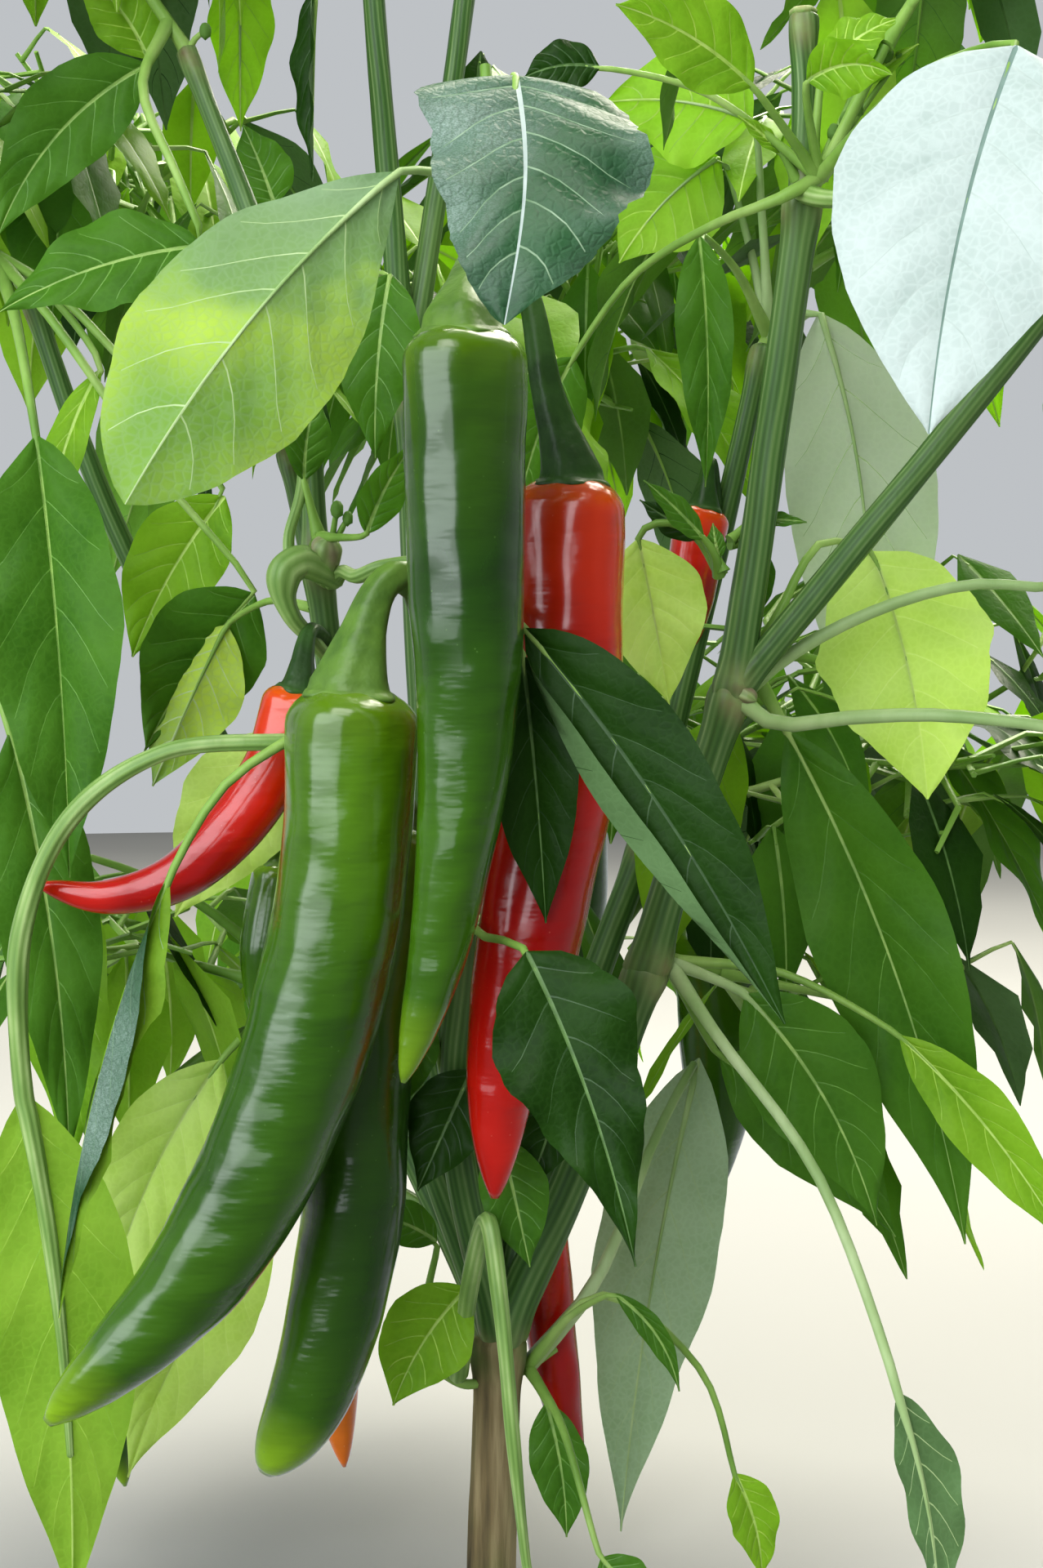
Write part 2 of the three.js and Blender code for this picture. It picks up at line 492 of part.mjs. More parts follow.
// Leaves
function leafShape({ turn, rise, stalk, swing, droop, blade, width, curl, roll, by }, root) {
  const base = root.clone().add(polar(turn, rise, stalk));
  const heading = polar(turn + swing, -droop, 1);
  const above = polar(turn + swing, 90 - droop, 1);
  const tip = base.clone().addScaledVector(heading, blade);
  const sag = blade * Math.tan(radians(curl / 4));
  const bow = base.clone().lerp(tip, 0.5).addScaledVector(above, sag);
  const midrib = new THREE.QuadraticBezierCurve3(base, bow, tip);
  const side = polar(turn + swing + 90, 0, 1).applyAxisAngle(heading, radians(roll));
  const arch = root.clone().lerp(base, 0.5).add(vector([0, 0, stalk * stalkArch]));
  const middle = by ? by.map(vector) : [arch].slice(stalk < shortStalk ? 1 : 0);
  return { midrib, side, stem: [root, ...middle, base], blade, width };
}

function halfWidth(along, width) {
  return 0.5 * width * Math.sin(Math.PI * along ** 0.75) ** 0.8;
}

function bladeTests({ midrib, side, blade, width }) {
  const points = [];
  const steps = Math.round(blade / bladeSpacing);
  for (let i = 0; i <= steps; i += 1) {
    const at = midrib.getPoint(i / steps);
    for (const across of [-0.85, -0.4, 0, 0.4, 0.85]) {
      points.push(at.clone().addScaledVector(side, across * halfWidth(i / steps, width)));
    }
  }
  return points;
}

function stalkTests({ stem }) {
  const curve = new THREE.CatmullRomCurve3(stem);
  const steps = Math.ceil(curve.getLength() / stalkSpacing);
  const inner = Array.from({ length: steps - 3 }, (_, i) => (i + 2) / steps);
  return inner.map((along) => curve.getPointAt(along));
}

function inSpace({ at, reach }, point) {
  const off = point.clone().sub(vector(at)).divide(vector(reach));
  return off.length() <= 1 && point.z > 2;
}

function inOpenFront(point) {
  const { x, y, z, across, up, down, depth } = openFront;
  const away = point.y - y;
  const height = point.z - z;
  const level = Math.abs(point.x - x) < across * away;
  return point.y < depth && level && height < up * away && height > -down * away;
}

// Blades keep clear of all others. Stalks and twigs pass freely among those of their own mass.
function isClear(mass, points, isBlade) {
  const others = tested.filter((other) => other.mass !== mass || (isBlade && other.isBlade));
  const near = (point) => balls.some(({ at, radius }) => at.distanceTo(point) < radius + limbRoom)
    || others.some((other) => other.point.distanceTo(point) < leafRoom);
  return !points.some(near);
}

function keep(mass, points, isBlade) {
  tested.push(...points.map((point) => ({ mass, point, isBlade })));
}

function addLeaf(mass, size, root, byRule) {
  const leaf = leafShape(size, root);
  const blade = bladeTests(leaf);
  const stalk = stalkTests(leaf);
  const inside = blade.every((point) => inSpace(mass.space, point));
  const blocked = byRule && [...blade, ...stalk].some(inOpenFront);
  if (!inside || blocked || !isClear(mass, blade, true) || !isClear(mass, stalk, false)) {
    return;
  }
  keep(mass, blade, true);
  keep(mass, stalk, false);
  mass.solids.push(leafSolid(leaf));
}

// Rings along a line of points, each square to the bend there. From the tip down to the root each is
// turned no more than the bend asks.
function ringsAlong(points, sizes, tipSide) {
  const rings = [];
  let last = { side: tipSide };
  for (let i = points.length - 1; i >= 0; i -= 1) {
    const before = points[Math.max(i - 1, 0)];
    const after = points[Math.min(i + 1, points.length - 1)];
    const into = points[i].clone().sub(before).normalize();
    const out = after.clone().sub(points[i]).normalize();
    const ahead = into.add(out).normalize();
    const turned = new THREE.Quaternion().setFromUnitVectors(last.ahead ?? ahead, ahead);
    const { side, up } = frameAcross(points[i], ahead, last.side.clone().applyQuaternion(turned));
    const [half, thick] = sizes[i];
    rings.unshift({ at: points[i], side: side.clone().multiplyScalar(half), up: up.multiplyScalar(thick) });
    last = { ahead, side };
  }
  return rings;
}

// A stalk and its blade in one. Both ends come to a point.
function leafSolid({ midrib, side, stem, blade, width }) {
  const across = bladeOutline.map(([along, share]) => ({
    at: midrib.getPoint(along),
    size: [0.5 * share * width, 0.5 * share * bladeThickness * blade],
  }));
  const points = [...pointed(stem), ...across.map(({ at }) => at), midrib.getPoint(1)];
  const sizes = [...stem.map(() => [stalkRadius, stalkRadius]), ...across.map(({ size }) => size)];
  const rings = ringsAlong(points, [[0, 0], ...sizes, [0, 0]], side);
  return ringed(rings, 4);
}

// A stem or a twig, with a ring at each of its points
function rod(points, root, tip) {
  const steps = points.length - 1;
  const line = pointed(pointed(points).reverse()).reverse();
  const sizes = points.map((_, i) => [mix(root, tip, i / steps), mix(root, tip, i / steps)]);
  const rings = ringsAlong(line, [[0, 0], ...sizes, [0, 0]], levelAcross([points[0], points[steps]]));
  return ringed(rings, twigSides);
}

// The points of a line with its root drawn in to a point, sunk into what carries it.
function pointed([root, second, ...rest]) {
  const ahead = second.clone().sub(root).normalize();
  const pole = root.clone().addScaledVector(ahead, -rootSunk);
  const first = root.clone().addScaledVector(ahead, rootSunk);
  return [pole, first, second, ...rest];
}

// The solid through a row of rings, with a point at either end.
function ringed(rings, sides) {
  const last = rings.length - 1;
  const profile = rings.map((_, i) => [i, i === 0 || i === last ? 0 : 1]);
  return bend(profile, sides, (i) => ({ ...rings[i], at: rings[i].at.clone() }));
}

// Twigs fork in two at each node, and each carries leaves by turns on its two sides.
function growTwig(mass, from, turn, rise, length, radius, forks) {
  const to = from.clone().add(polar(turn + draw(-10, 10), rise + draw(-8, 8), length));
  const points = [0.4, 0.7, 1].map((along) => from.clone().lerp(to, along));
  const fits = points.every((point) => inSpace(mass.space, point) && !inOpenFront(point));
  if (!fits || !isClear(mass, points, false)) {
    return;
  }
  keep(mass, points, false);
  mass.solids.push(rod([from, to], radius, radius * twigTaper));
  for (const [along, side] of leafPlaces) {
    addLeaf(mass, leafByRule(turn, side), from.clone().lerp(to, along), true);
  }
  if (forks > 0) {
    for (const side of [-1, 1]) {
      const away = turn + side * draw(32, 62);
      growTwig(mass, to, away, rise + draw(-28, 14), length * twigShorter, radius * twigTaper, forks - 1);
    }
  }
}

function leafByRule(turn, side) {
  const blade = draw(58, 104);
  return {
    turn: turn + side * draw(35, 120),
    rise: draw(-15, 40),
    stalk: draw(20, 42),
    swing: draw(-25, 25),
    droop: draw(20, 72),
    blade,
    width: blade * draw(0.36, 0.5),
    curl: draw(10, 40),
    roll: draw(-25, 25),
  };
}

// Masses: the leaves that were placed by eye come first, then what the rule adds round them.
function footOf({ on, foot }) {
  return foot ? vector(foot) : grown[on].tip.clone();
}

for (const mass of masses) {
  const { on, stem, leaves, leafAt } = mass;
  const foot = footOf(mass);
  const inner = grown[on].curve.getPointAt(on === "trunk" ? 0.88 : 0.99);
  const end = foot.clone().add(polar(stem.turn, stem.rise, stem.length));
  mass.end = end;
  mass.solids = [rod([inner, foot, end], twigRadius, twigRadius)];
  for (const leaf of leaves) {
    addLeaf(mass, leaf, foot.clone().lerp(end, leafAt), false);
  }
}

for (const mass of masses) {
  const { stem, forks, seed, end } = mass;
  drawn = seed;
  for (const side of forks > 0 ? [-1, 1] : []) {
    const away = stem.turn + side * draw(30, 55);
    growTwig(mass, end, away, stem.rise + draw(-20, 10), twigLength, twigRadius, forks - 1);
  }
}

for (const { name, solids } of masses) {
  const whole = solids.reduce((sum, piece) => sum.add(piece));
  addNode(name, cutClear(whole), 0x3c7a2a, 0.6);
}

export default group;
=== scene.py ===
# A chilli pepper plant in fruit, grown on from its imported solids: a woody foot, ribbed green boughs,
# hanging leaves on long stalks, and smooth glossy pods. Routes and sizes are in millimetres, and a
# mesh is brought to metres when it is made.
import math

import bmesh
import bpy
import numpy as np
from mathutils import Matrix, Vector


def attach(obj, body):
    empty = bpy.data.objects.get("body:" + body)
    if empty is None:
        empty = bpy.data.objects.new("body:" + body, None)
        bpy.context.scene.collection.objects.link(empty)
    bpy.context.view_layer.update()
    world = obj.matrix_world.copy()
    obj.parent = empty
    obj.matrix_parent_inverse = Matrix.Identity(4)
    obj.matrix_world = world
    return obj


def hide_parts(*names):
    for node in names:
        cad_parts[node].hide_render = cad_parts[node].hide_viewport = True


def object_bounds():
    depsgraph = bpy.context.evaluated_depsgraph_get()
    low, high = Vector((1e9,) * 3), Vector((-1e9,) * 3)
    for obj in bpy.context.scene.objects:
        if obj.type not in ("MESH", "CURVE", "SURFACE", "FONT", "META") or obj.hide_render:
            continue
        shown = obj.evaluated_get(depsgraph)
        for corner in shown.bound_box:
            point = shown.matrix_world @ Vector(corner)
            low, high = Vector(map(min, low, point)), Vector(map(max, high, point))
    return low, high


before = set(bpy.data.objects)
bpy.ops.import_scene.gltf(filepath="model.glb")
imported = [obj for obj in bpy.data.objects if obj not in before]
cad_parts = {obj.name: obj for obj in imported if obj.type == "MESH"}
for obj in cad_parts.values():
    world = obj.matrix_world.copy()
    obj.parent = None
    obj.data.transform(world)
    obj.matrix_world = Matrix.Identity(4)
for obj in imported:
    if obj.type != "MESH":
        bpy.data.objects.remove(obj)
cad_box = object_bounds()

# The limbs. The foot is woody, and the boughs are firm and green with raised ribs and a swollen joint
# where each forks. Every limb grows out of the tip of the one that carries it.
METRE = 0.001
foot_height = 72
foot_radius = 6.3
flare_radius = 9.5
flare_top = 9
joint_swell = 0.2
joint_length = 7
# each limb's name, the one that carries it, its route, and its radii at the foot and the tip
limbs = [dict(zip(("name", "on", "route", "radii"), row)) for row in (
    ("trunk", None, [(0, 0, 0), (0, 0, 12), (1, 0, 40), (2, 0, foot_height)], (foot_radius, 6)),
    ("bough_right_low", "trunk", [(22, -5, 119), (39.5, -8, 170)], (5.2, 4.9)),
    ("bough_right_middle", "bough_right_low", [(52, -10, 214), (61, -12, 241)], (4.8, 4.7)),
    ("bough_right_upper", "bough_right_middle", [(68, -16, 291), (77, -20, 362)], (4.5, 4.1)),
    ("bough_right_stub", "bough_right_upper", [(76.5, -20.5, 405)], (3.1, 3)),
    ("bough_right_outer", "bough_right_middle", [(91, -20, 278), (134, -30, 333), (155, -38, 362)],
        (3.7, 3)),
    ("bough_front_low", "trunk", [(-8, -22, 130), (-6, -38, 190), (-4, -45, 260)], (4.2, 3.5)),
    ("bough_front_high", "bough_front_low", [(-2, -46, 305), (2, -45, 352)], (3.3, 2.8)),
    ("bough_left_low", "trunk", [(-24, -4, 150), (-37, -20, 230)], (4.1, 3.7)),
    ("bough_left_middle", "bough_left_low", [(-42, -25, 273)], (3.6, 3.5)),
    ("bough_left_upper", "bough_left_middle", [(-46, -22, 320), (-75, -8, 400)], (2.9, 2.3)),
    ("bough_outer_low", "trunk", [(-20, 12, 118), (-40, 22, 160)], (4, 3.7)),
    ("bough_outer_high", "bough_outer_low", [(-75, 30, 230), (-105, 30, 295), (-122, 26, 345)], (3.5, 2.6)),
    ("bough_centre", "trunk", [(-9, 10, 133), (-17.5, 18, 229), (-22, 22, 320)], (4.4, 3.6)),
    ("bough_centre_left", "bough_centre", [(-29, 22, 400), (-33, 22, 460)], (3.4, 2.7)),
    ("bough_centre_right", "bough_centre", [(-8, 38, 420), (-2, 46, 470)], (3.1, 2.6)),
    ("bough_rear_right_low", "trunk", [(16, 18, 130), (42, 40, 200)], (4.2, 3.8)),
    ("bough_rear_right_high", "bough_rear_right_low", [(60, 52, 270), (75, 58, 335)], (3.6, 2.9)),
    ("bough_rear_low", "trunk", [(3, 26, 118), (4, 56, 165)], (4, 3.6)),
    ("bough_rear_high", "bough_rear_low", [(8, 95, 235), (12, 120, 300)], (3.4, 2.7)),
    ("bough_rear_left", "trunk", [(-18, 34, 140), (-42, 78, 225), (-62, 105, 310)], (4, 2.7)),
)]


def arrays(points):
    return np.array(points, float)


class Line:
    """A smooth line through a few points, centripetal, read by its share of the way."""

    def __init__(self, points):
        points = arrays(points)
        before = 2 * points[0] - points[1]
        after = 2 * points[-1] - points[-2]
        self.points = np.vstack([before, points, after])
        self.spans = len(points) - 1
        self.shares = np.linspace(0, 1, 201)
        steps = np.linalg.norm(np.diff(self.at_share(self.shares), axis=0), axis=1)
        self.lengths = np.concatenate([[0], np.cumsum(steps)])
        self.length = self.lengths[-1]

    def at_share(self, shares):
        place = np.asarray(shares, float) * self.spans
        span = np.minimum(place.astype(int), self.spans - 1)
        along = (place - span)[..., None]
        before, start, end, after = (self.points[span + i] for i in range(4))
        middle = ((end - start) ** 2).sum(-1, keepdims=True) ** 0.25
        first = ((start - before) ** 2).sum(-1, keepdims=True) ** 0.25
        last = ((after - end) ** 2).sum(-1, keepdims=True) ** 0.25
        leave = (start - before) / first - (end - before) / (first + middle) + (end - start) / middle
        reach = (end - start) / middle - (after - start) / (middle + last) + (after - end) / last
        leave = leave * middle
        reach = reach * middle
        square = -3 * start + 3 * end - 2 * leave - reach
        cube = 2 * start - 2 * end + leave + reach
        return start + leave * along + square * along**2 + cube * along**3

    def share_of(self, lengths):
        return np.interp(np.asarray(lengths, float) * self.length, self.lengths, self.shares)

    def at(self, lengths):
        return self.at_share(self.share_of(lengths))

    def ahead(self, lengths):
        share = self.share_of(lengths)
        near = self.at_share(np.maximum(share - 0.0001, 0))
        far = self.at_share(np.minimum(share + 0.0001, 1))
        return unit(far - near)


def unit(vectors):
    return vectors / np.linalg.norm(vectors, axis=-1, keepdims=True)


def frames_along(ahead):
    """Two directions across a line at each of its points, turned as little as its bends ask."""
    side = np.zeros_like(ahead)
    start = arrays([1, 0, 0]) if abs(ahead[0][0]) < 0.8 else arrays([0, 1, 0])
    for i, way in enumerate(ahead):
        start = unit(start - way * (start @ way))
        side[i] = start
    return side, np.cross(ahead, side)


def new_piece(name, mesh, materials):
    """A finished piece on the plant's one body, with its place in its mesh."""
    piece = bpy.data.objects.new(name, mesh)
    bpy.context.scene.collection.objects.link(piece)
    for material in materials:
        mesh.materials.append(material)
    mesh.polygons.foreach_set("use_smooth", [True] * len(mesh.polygons))
    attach(piece, "root")
    return piece


def tube_mesh(name, around, along):
    """A closed tube, with each vertex's angle round it and its share of the way along."""
    form = bmesh.new()
    bmesh.ops.create_cone(form, cap_ends=True, cap_tris=False, segments=around, radius1=1, radius2=1,
        depth=2)
    upright = [edge for edge in form.edges if edge.verts[0].co.z * edge.verts[1].co.z < 0]
    bmesh.ops.subdivide_edges(form, edges=upright, cuts=along - 1)
    mesh = bpy.data.meshes.new(name)
    form.to_mesh(mesh)
    form.free()
    places = np.zeros(3 * len(mesh.vertices))
    mesh.vertices.foreach_get("co", places)
    x, y, z = places.reshape(-1, 3).T
    return mesh, np.arctan2(y, x), np.round((z + 1) / 2 * along).astype(int)


def spokes(angle, side, up):
    """The way out from a line to each vertex round it."""
    return np.cos(angle)[:, None] * side + np.sin(angle)[:, None] * up


def set_places(mesh, places):
    mesh.vertices.foreach_set("co", (places * METRE).ravel())
    mesh.update()


def set_values(mesh, name, values):
    mesh.attributes.new(name, "FLOAT", "POINT").data.foreach_set("value", values)


def bump_at(places, centre, reach):
    return np.exp(-(((places - centre) / reach) ** 2))


octaves = 4
octave_sum = 1.6


def waves(places, seed, size):
    """Slow seeded unevenness between about -1 and 1, for a row of places in millimetres."""
    chance = np.random.default_rng(seed)
    total = np.zeros_like(places)
    for octave in range(octaves):
        phase = places / size * 2**octave * chance.uniform(0.8, 1.25) + chance.uniform(0, 7)
        total += np.sin(phase) / 2**octave
    return total / octave_sum


class Finish:
    """A material that is built up node by node."""

    def __init__(self, name, **sockets):
        self.material = bpy.data.materials.new(name)
        self.material.use_nodes = True
        self.tree = self.material.node_tree
        self.shader = self.tree.nodes["Principled BSDF"]
        for socket, value in sockets.items():
            self.shader.inputs[socket.replace("_", " ").title().replace("Ior", "IOR")].default_value = value

    def node(self, kind, **values):
        made = self.tree.nodes.new(kind)
        for name, value in values.items():
            if hasattr(made, name):
                setattr(made, name, value)
            else:
                made.inputs[name.replace("_", " ").title()].default_value = value
        return made

    def link(self, output, target):
        self.tree.links.new(output, target)

    def place(self):
        """Where a point lies in the piece's own space, in metres."""
        return self.node("ShaderNodeTexCoord").outputs["Object"]

    def noise(self, scale, detail=3.0, stretch=(1, 1, 1)):
        """Unevenness in the piece's own space, from 0 to 1."""
        mapping = self.node("ShaderNodeMapping")
        mapping.inputs["Scale"].default_value = stretch
        self.link(self.place(), mapping.inputs["Vector"])
        made = self.node("ShaderNodeTexNoise", scale=scale, detail=detail)
        self.link(mapping.outputs["Vector"], made.inputs["Vector"])
        return made.outputs["Fac"]

    def attribute(self, name):
        return self.node("ShaderNodeAttribute", attribute_name=name).outputs["Fac"]

    def ramp(self, factor, *stops):
        made = self.node("ShaderNodeValToRGB")
        points = made.color_ramp.elements
        while len(points) < len(stops):
            points.new(0.5)
        for point, (position, colour) in zip(points, stops):
            point.position = position
            point.color = (*colour, 1) if isinstance(colour, tuple) else (colour, colour, colour, 1)
        self.link(factor, made.inputs["Fac"])
        return made.outputs["Color"]

    def mix(self, factor, low, high, blend="MIX"):
        made = self.node("ShaderNodeMix", data_type="RGBA", blend_type=blend)
        for socket, value in ((made.inputs[0], factor), (made.inputs[6], low), (made.inputs[7], high)):
            if isinstance(value, bpy.types.NodeSocket):
                self.link(value, socket)
            else:
                socket.default_value = (*value, 1) if isinstance(value, tuple) else value
        return made.outputs[2]

    def spots(self, factor, rise, tone, colour):
        """A colour over a tone: none up to the rise's start, and its share from the rise's end on."""
        start, end, share = rise
        return self.mix(self.ramp(factor, (start, 0.0), (end, share)), tone, colour)

    def colour(self, output):
        self.link(output, self.shader.inputs["Base Color"])

    def roughness(self, factor, low, high):
        made = self.node("ShaderNodeMapRange")
        made.inputs["To Min"].default_value = low
        made.inputs["To Max"].default_value = high
        self.link(factor, made.inputs["Value"])
        self.link(made.outputs["Result"], self.shader.inputs["Roughness"])

    def bump(self, *layers):
        """Layers of relief: each a height and its depth in metres."""
        below = None
        for height, depth in layers:
            made = self.node("ShaderNodeBump", strength=1.0, distance=depth)
            self.link(height, made.inputs["Height"])
            if below:
                self.link(below, made.inputs["Normal"])
            below = made.outputs["Normal"]
        self.link(below, self.shader.inputs["Normal"])


def green_bark():
    finish = Finish("green_bark", roughness=0.42, specular_ior_level=0.3)
    grain = finish.noise(220, 4, (1, 1, 0.12))
    blotch = finish.noise(30, 3, (1, 1, 0.4))
    ribs = finish.ramp(finish.attribute("rib"), (0.05, (0.028, 0.078, 0.014)), (0.5, (0.06, 0.145, 0.03)),
        (0.84, (0.115, 0.21, 0.06)), (0.98, (0.23, 0.34, 0.14)))
    streaked = finish.spots(grain, (0.42, 0.75, 0.45), ribs, (0.035, 0.105, 0.016))
    mottled = finish.spots(blotch, (0.5, 0.8, 0.4), streaked, (0.16, 0.26, 0.07))
    joint = finish.ramp(finish.noise(110, 3), (0.35, (0.2, 0.19, 0.08)), (0.5, (0.2, 0.27, 0.09)),
        (0.68, (0.16, 0.09, 0.06)))
    finish.colour(finish.mix(finish.attribute("joint"), mottled, joint))
    finish.roughness(grain, 0.32, 0.5)
    finish.bump((grain, 0.0003), (finish.noise(900, 2, (1, 1, 0.3)), 0.00006))
    return finish.material


def woody_bark():
    finish = Finish("woody_bark", roughness=0.75, specular_ior_level=0.25)
    grain = finish.noise(240, 6, (1, 1, 0.08))
    patch = finish.noise(45, 3, (1, 1, 0.4))
    wood = finish.ramp(grain, (0.32, (0.04, 0.032, 0.014)), (0.5, (0.17, 0.125, 0.055)),
        (0.68, (0.34, 0.27, 0.14)))
    mossed = finish.spots(patch, (0.45, 0.7, 0.6), wood, (0.11, 0.16, 0.04))
    finish.colour(finish.mix(finish.attribute("joint"), mossed, (0.1, 0.15, 0.035)))
    finish.bump((grain, 0.0009), (finish.noise(700, 3, (1, 1, 0.2)), 0.0002))
    return finish.material


bark_green = green_bark()
bark_woody = woody_bark()
limb_lines = {}
limb_tips = {}
limb_around = 90
limb_step = 2.2
limb_sunk = 5
sunk_radius = 0.8
# the rounded end: how far it reaches against its radius, and where its rings lie
end_reach = 0.6
end_rings = arrays([0.35, 0.66, 0.88, 0.985])
joint_inset = 2
woody_ribs = (9, 0.075)
green_ribs = (17, 0.035)
radius_uneven = 0.03
rib_swing = 0.5
rib_middle = 0.55


def grow_limb(limb, seed):
    name, on = limb["name"], limb["on"]
    points = arrays(([limb_tips[on]] if on else []) + limb["route"])
    line = Line(points)
    limb_lines[name] = line
    limb_tips[name] = tuple(points[-1])
    low, high = limb["radii"]
    length = np.linspace(0, line.length, round(line.length / limb_step))
    centre = line.at(length / line.length)
    ahead = line.ahead(length / line.length)
    radius = low + (high - low) * length / line.length
    # the end is rounded over, and the root starts inside the limb that carries it
    beyond = high * end_reach * end_rings
    length = np.append(length, line.length + beyond)
    centre = np.vstack([centre, centre[-1] + ahead[-1] * beyond[:, None]])
    ahead = np.vstack([ahead, np.tile(ahead[-1], (len(end_rings), 1))])
    radius = np.append(radius, high * np.sqrt(1 - end_rings**2))
    if on:
        length = np.insert(length, 0, -limb_sunk)
        centre = np.vstack([centre[0] - ahead[0] * limb_sunk, centre])
        ahead = np.vstack([ahead[0], ahead])
        radius = np.insert(radius, 0, low * sunk_radius)
    side, up = frames_along(ahead)
    joint = bump_at(length, line.length - joint_inset, joint_length)
    if name == "trunk":
        radius = radius + (flare_radius - foot_radius) * np.clip(1 - length / flare_top, 0, 1) ** 1.6
        ribs, depth = woody_ribs
    else:
        joint = np.maximum(joint, bump_at(length, joint_inset, joint_length))
        ribs, depth = green_ribs
    radius = radius * (1 + joint_swell * joint + radius_uneven * waves(length, seed, 16))
    mesh, angle, ring = tube_mesh("bark_" + name, limb_around, len(length) - 1)
    ends = np.sin(math.pi * np.clip(length / line.length, 0, 1))
    swing = rib_swing * waves(length, seed + 50, 60) * ends
    facing = np.arctan2(np.sin(angle), np.cos(angle))
    phase = ribs * (facing + swing[ring]) + 0.9 * np.sin(3 * facing) + 1.3 * np.sin(2 * facing + 1)
    rib = 0.5 + 0.24 * np.cos(phase) + 0.24 * np.cos(5 * facing + swing[ring] * 5)
    relief = depth * (rib**0.7 - rib_middle) * (1 - 0.6 * joint[ring])
    relief += 0.025 * np.sin(2 * angle + length[ring] / 23 + seed) * ends[ring]
    relief += 0.1 * joint[ring] * np.sin(2 * angle + seed) * np.sin(angle * 3 + length[ring] / 4)
    places = centre[ring] + (radius[ring] * (1 + relief))[:, None] * spokes(angle, side[ring], up[ring])
    places[:, 2] = np.maximum(places[:, 2], 0)
    set_places(mesh, places)
    set_values(mesh, "rib", rib)
    patchy = 0.55 + 0.45 * np.sin(2 * angle + seed + length[ring] / 5)
    set_values(mesh, "joint", np.clip(joint[ring] ** 2 * patchy, 0, 1))
    material = bark_woody if name == "trunk" else bark_green
    piece = new_piece("bark_" + name, mesh, [material])
    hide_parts(name)


for number, limb in enumerate(limbs):
    grow_limb(limb, number)

# The pods. Each hangs from its bough on a curved stalk that swells into a cap, and the cap's toothed rim
# lies on the pod's shoulder. The skin is waxy, a little dented, and lighter at the shoulder and the tip.
ripe = "red"
unripe = "green"
turning = "orange"
pod_parts = ("name", "on", "at", "stalk", "body", "radius", "colour")
# at is how far along its limb a pod's stalk leaves, and stalk and body are the ways that the two take
pods = [dict(zip(pod_parts, row)) for row in (
    ("pod_green_front", "bough_front_high", 0.75, [(-3, -66, 338)], [(-5, -90, 322), (-4.5, -90, 280),
        (-4, -90, 233), (-10, -90, 187), (-18, -90, 157)], 13.4, unripe),
    ("pod_green_left", "bough_front_high", 0.3, [(-13, -62, 287), (-21, -74, 270)], [(-30, -75, 244),
        (-33, -75, 196), (-45, -75, 150), (-66, -75, 110), (-100, -75, 76)], 14.6, unripe),
    ("pod_green_low", "bough_left_low", 0.85, [(-28, -37, 226)], [(-23, -46, 212), (-30.5, -48, 154),
        (-32.5, -50, 115), (-42, -52, 76), (-53, -52, 56)], 12.8, unripe),
    ("pod_red_front", "bough_front_high", 0.95, [(9, -50, 336), (14, -54, 312)], [(19.5, -55, 292),
        (18, -55, 232), (10, -57, 186), (3, -59, 148), (1.7, -59, 124)], 13, ripe),
    ("pod_red_left", "bough_left_middle", 0.55, [(-43, -36, 256)], [(-45, -42, 243), (-52, -42, 222),
        (-72, -43, 199), (-91, -44, 193), (-107, -45, 196)], 7.6, ripe),
    ("pod_red_low", "bough_right_low", 0.35, [(12, 12, 134)], [(10.5, 18, 121), (14, 17, 85),
        (18.5, 16, 52), (24.5, 15, 27)], 7.5, ripe),
    ("pod_red_right", "bough_rear_right_high", 0.6, [(60, 50, 303)], [(58, 47, 291), (55, 46, 272),
        (55, 47, 252)], 7.5, ripe),
    ("pod_green_small", "bough_left_low", 0.72, [(-44, -8, 212)], [(-53, -8, 198), (-57, -9, 172),
        (-55, -10, 148)], 7, unripe),
    ("pod_green_far_left", "bough_outer_low", 0.9, [(-66, 30, 148), (-96, 34, 124)], [(-108, 34, 98),
        (-108, 34, 62), (-101, 32, 22)], 10, unripe),
    ("pod_orange_low", "bough_outer_low", 0.35, [(-36, 28, 108)], [(-42, 34, 92), (-44, 36, 60),
        (-41, 36, 26)], 8, turning),
    ("pod_rear_green", "bough_rear_high", 0.5, [(14, 118, 250)], [(20, 128, 236), (22, 130, 180),
        (18, 130, 130), (8, 128, 96)], 13, unripe),
    ("pod_rear_red", "bough_rear_left", 0.62, [(-44, 98, 226)], [(-48, 108, 212), (-50, 112, 165),
        (-46, 114, 120), (-36, 114, 92)], 12, ripe),
    ("pod_rear_right", "bough_rear_right_low", 0.8, [(52, 60, 192)], [(62, 72, 178), (66, 80, 130),
        (62, 84, 84)], 12, unripe),
    ("pod_right_high", "bough_right_outer", 0.75, [(146, -12, 336)], [(152, 8, 322), (162, 16, 278),
        (166, 18, 236)], 11, unripe),
)]
pod_around = 56
pod_step = 1.65
pod_stalk_radius = 2.3
pod_cap = 0.62
pod_shoulder = 0.62
shoulder_rings = 9
pod_uneven = 0.014
stalk_sunk = 0.3
stalk_rings = 40
skirt_rings = 5
cap_around = 48
# a pod's dents: how deep, how many round it, and how they turn and swell along it, with their seeds
pod_dents = ((0.018, 2, 26, 1, 17, 2), (0.014, 3, 11, 3, 8, 1), (0.006, 5, -7, 1, 4.7, 2))
# the stalk's radius at distances back from the cap, both against the pod's radius
stalk_shape = ((0, 0.6), (0.18, 0.53), (0.45, 0.46), (0.9, 0.35), (1.6, 0.27), (2.6, 0.23), (4, 0.19))
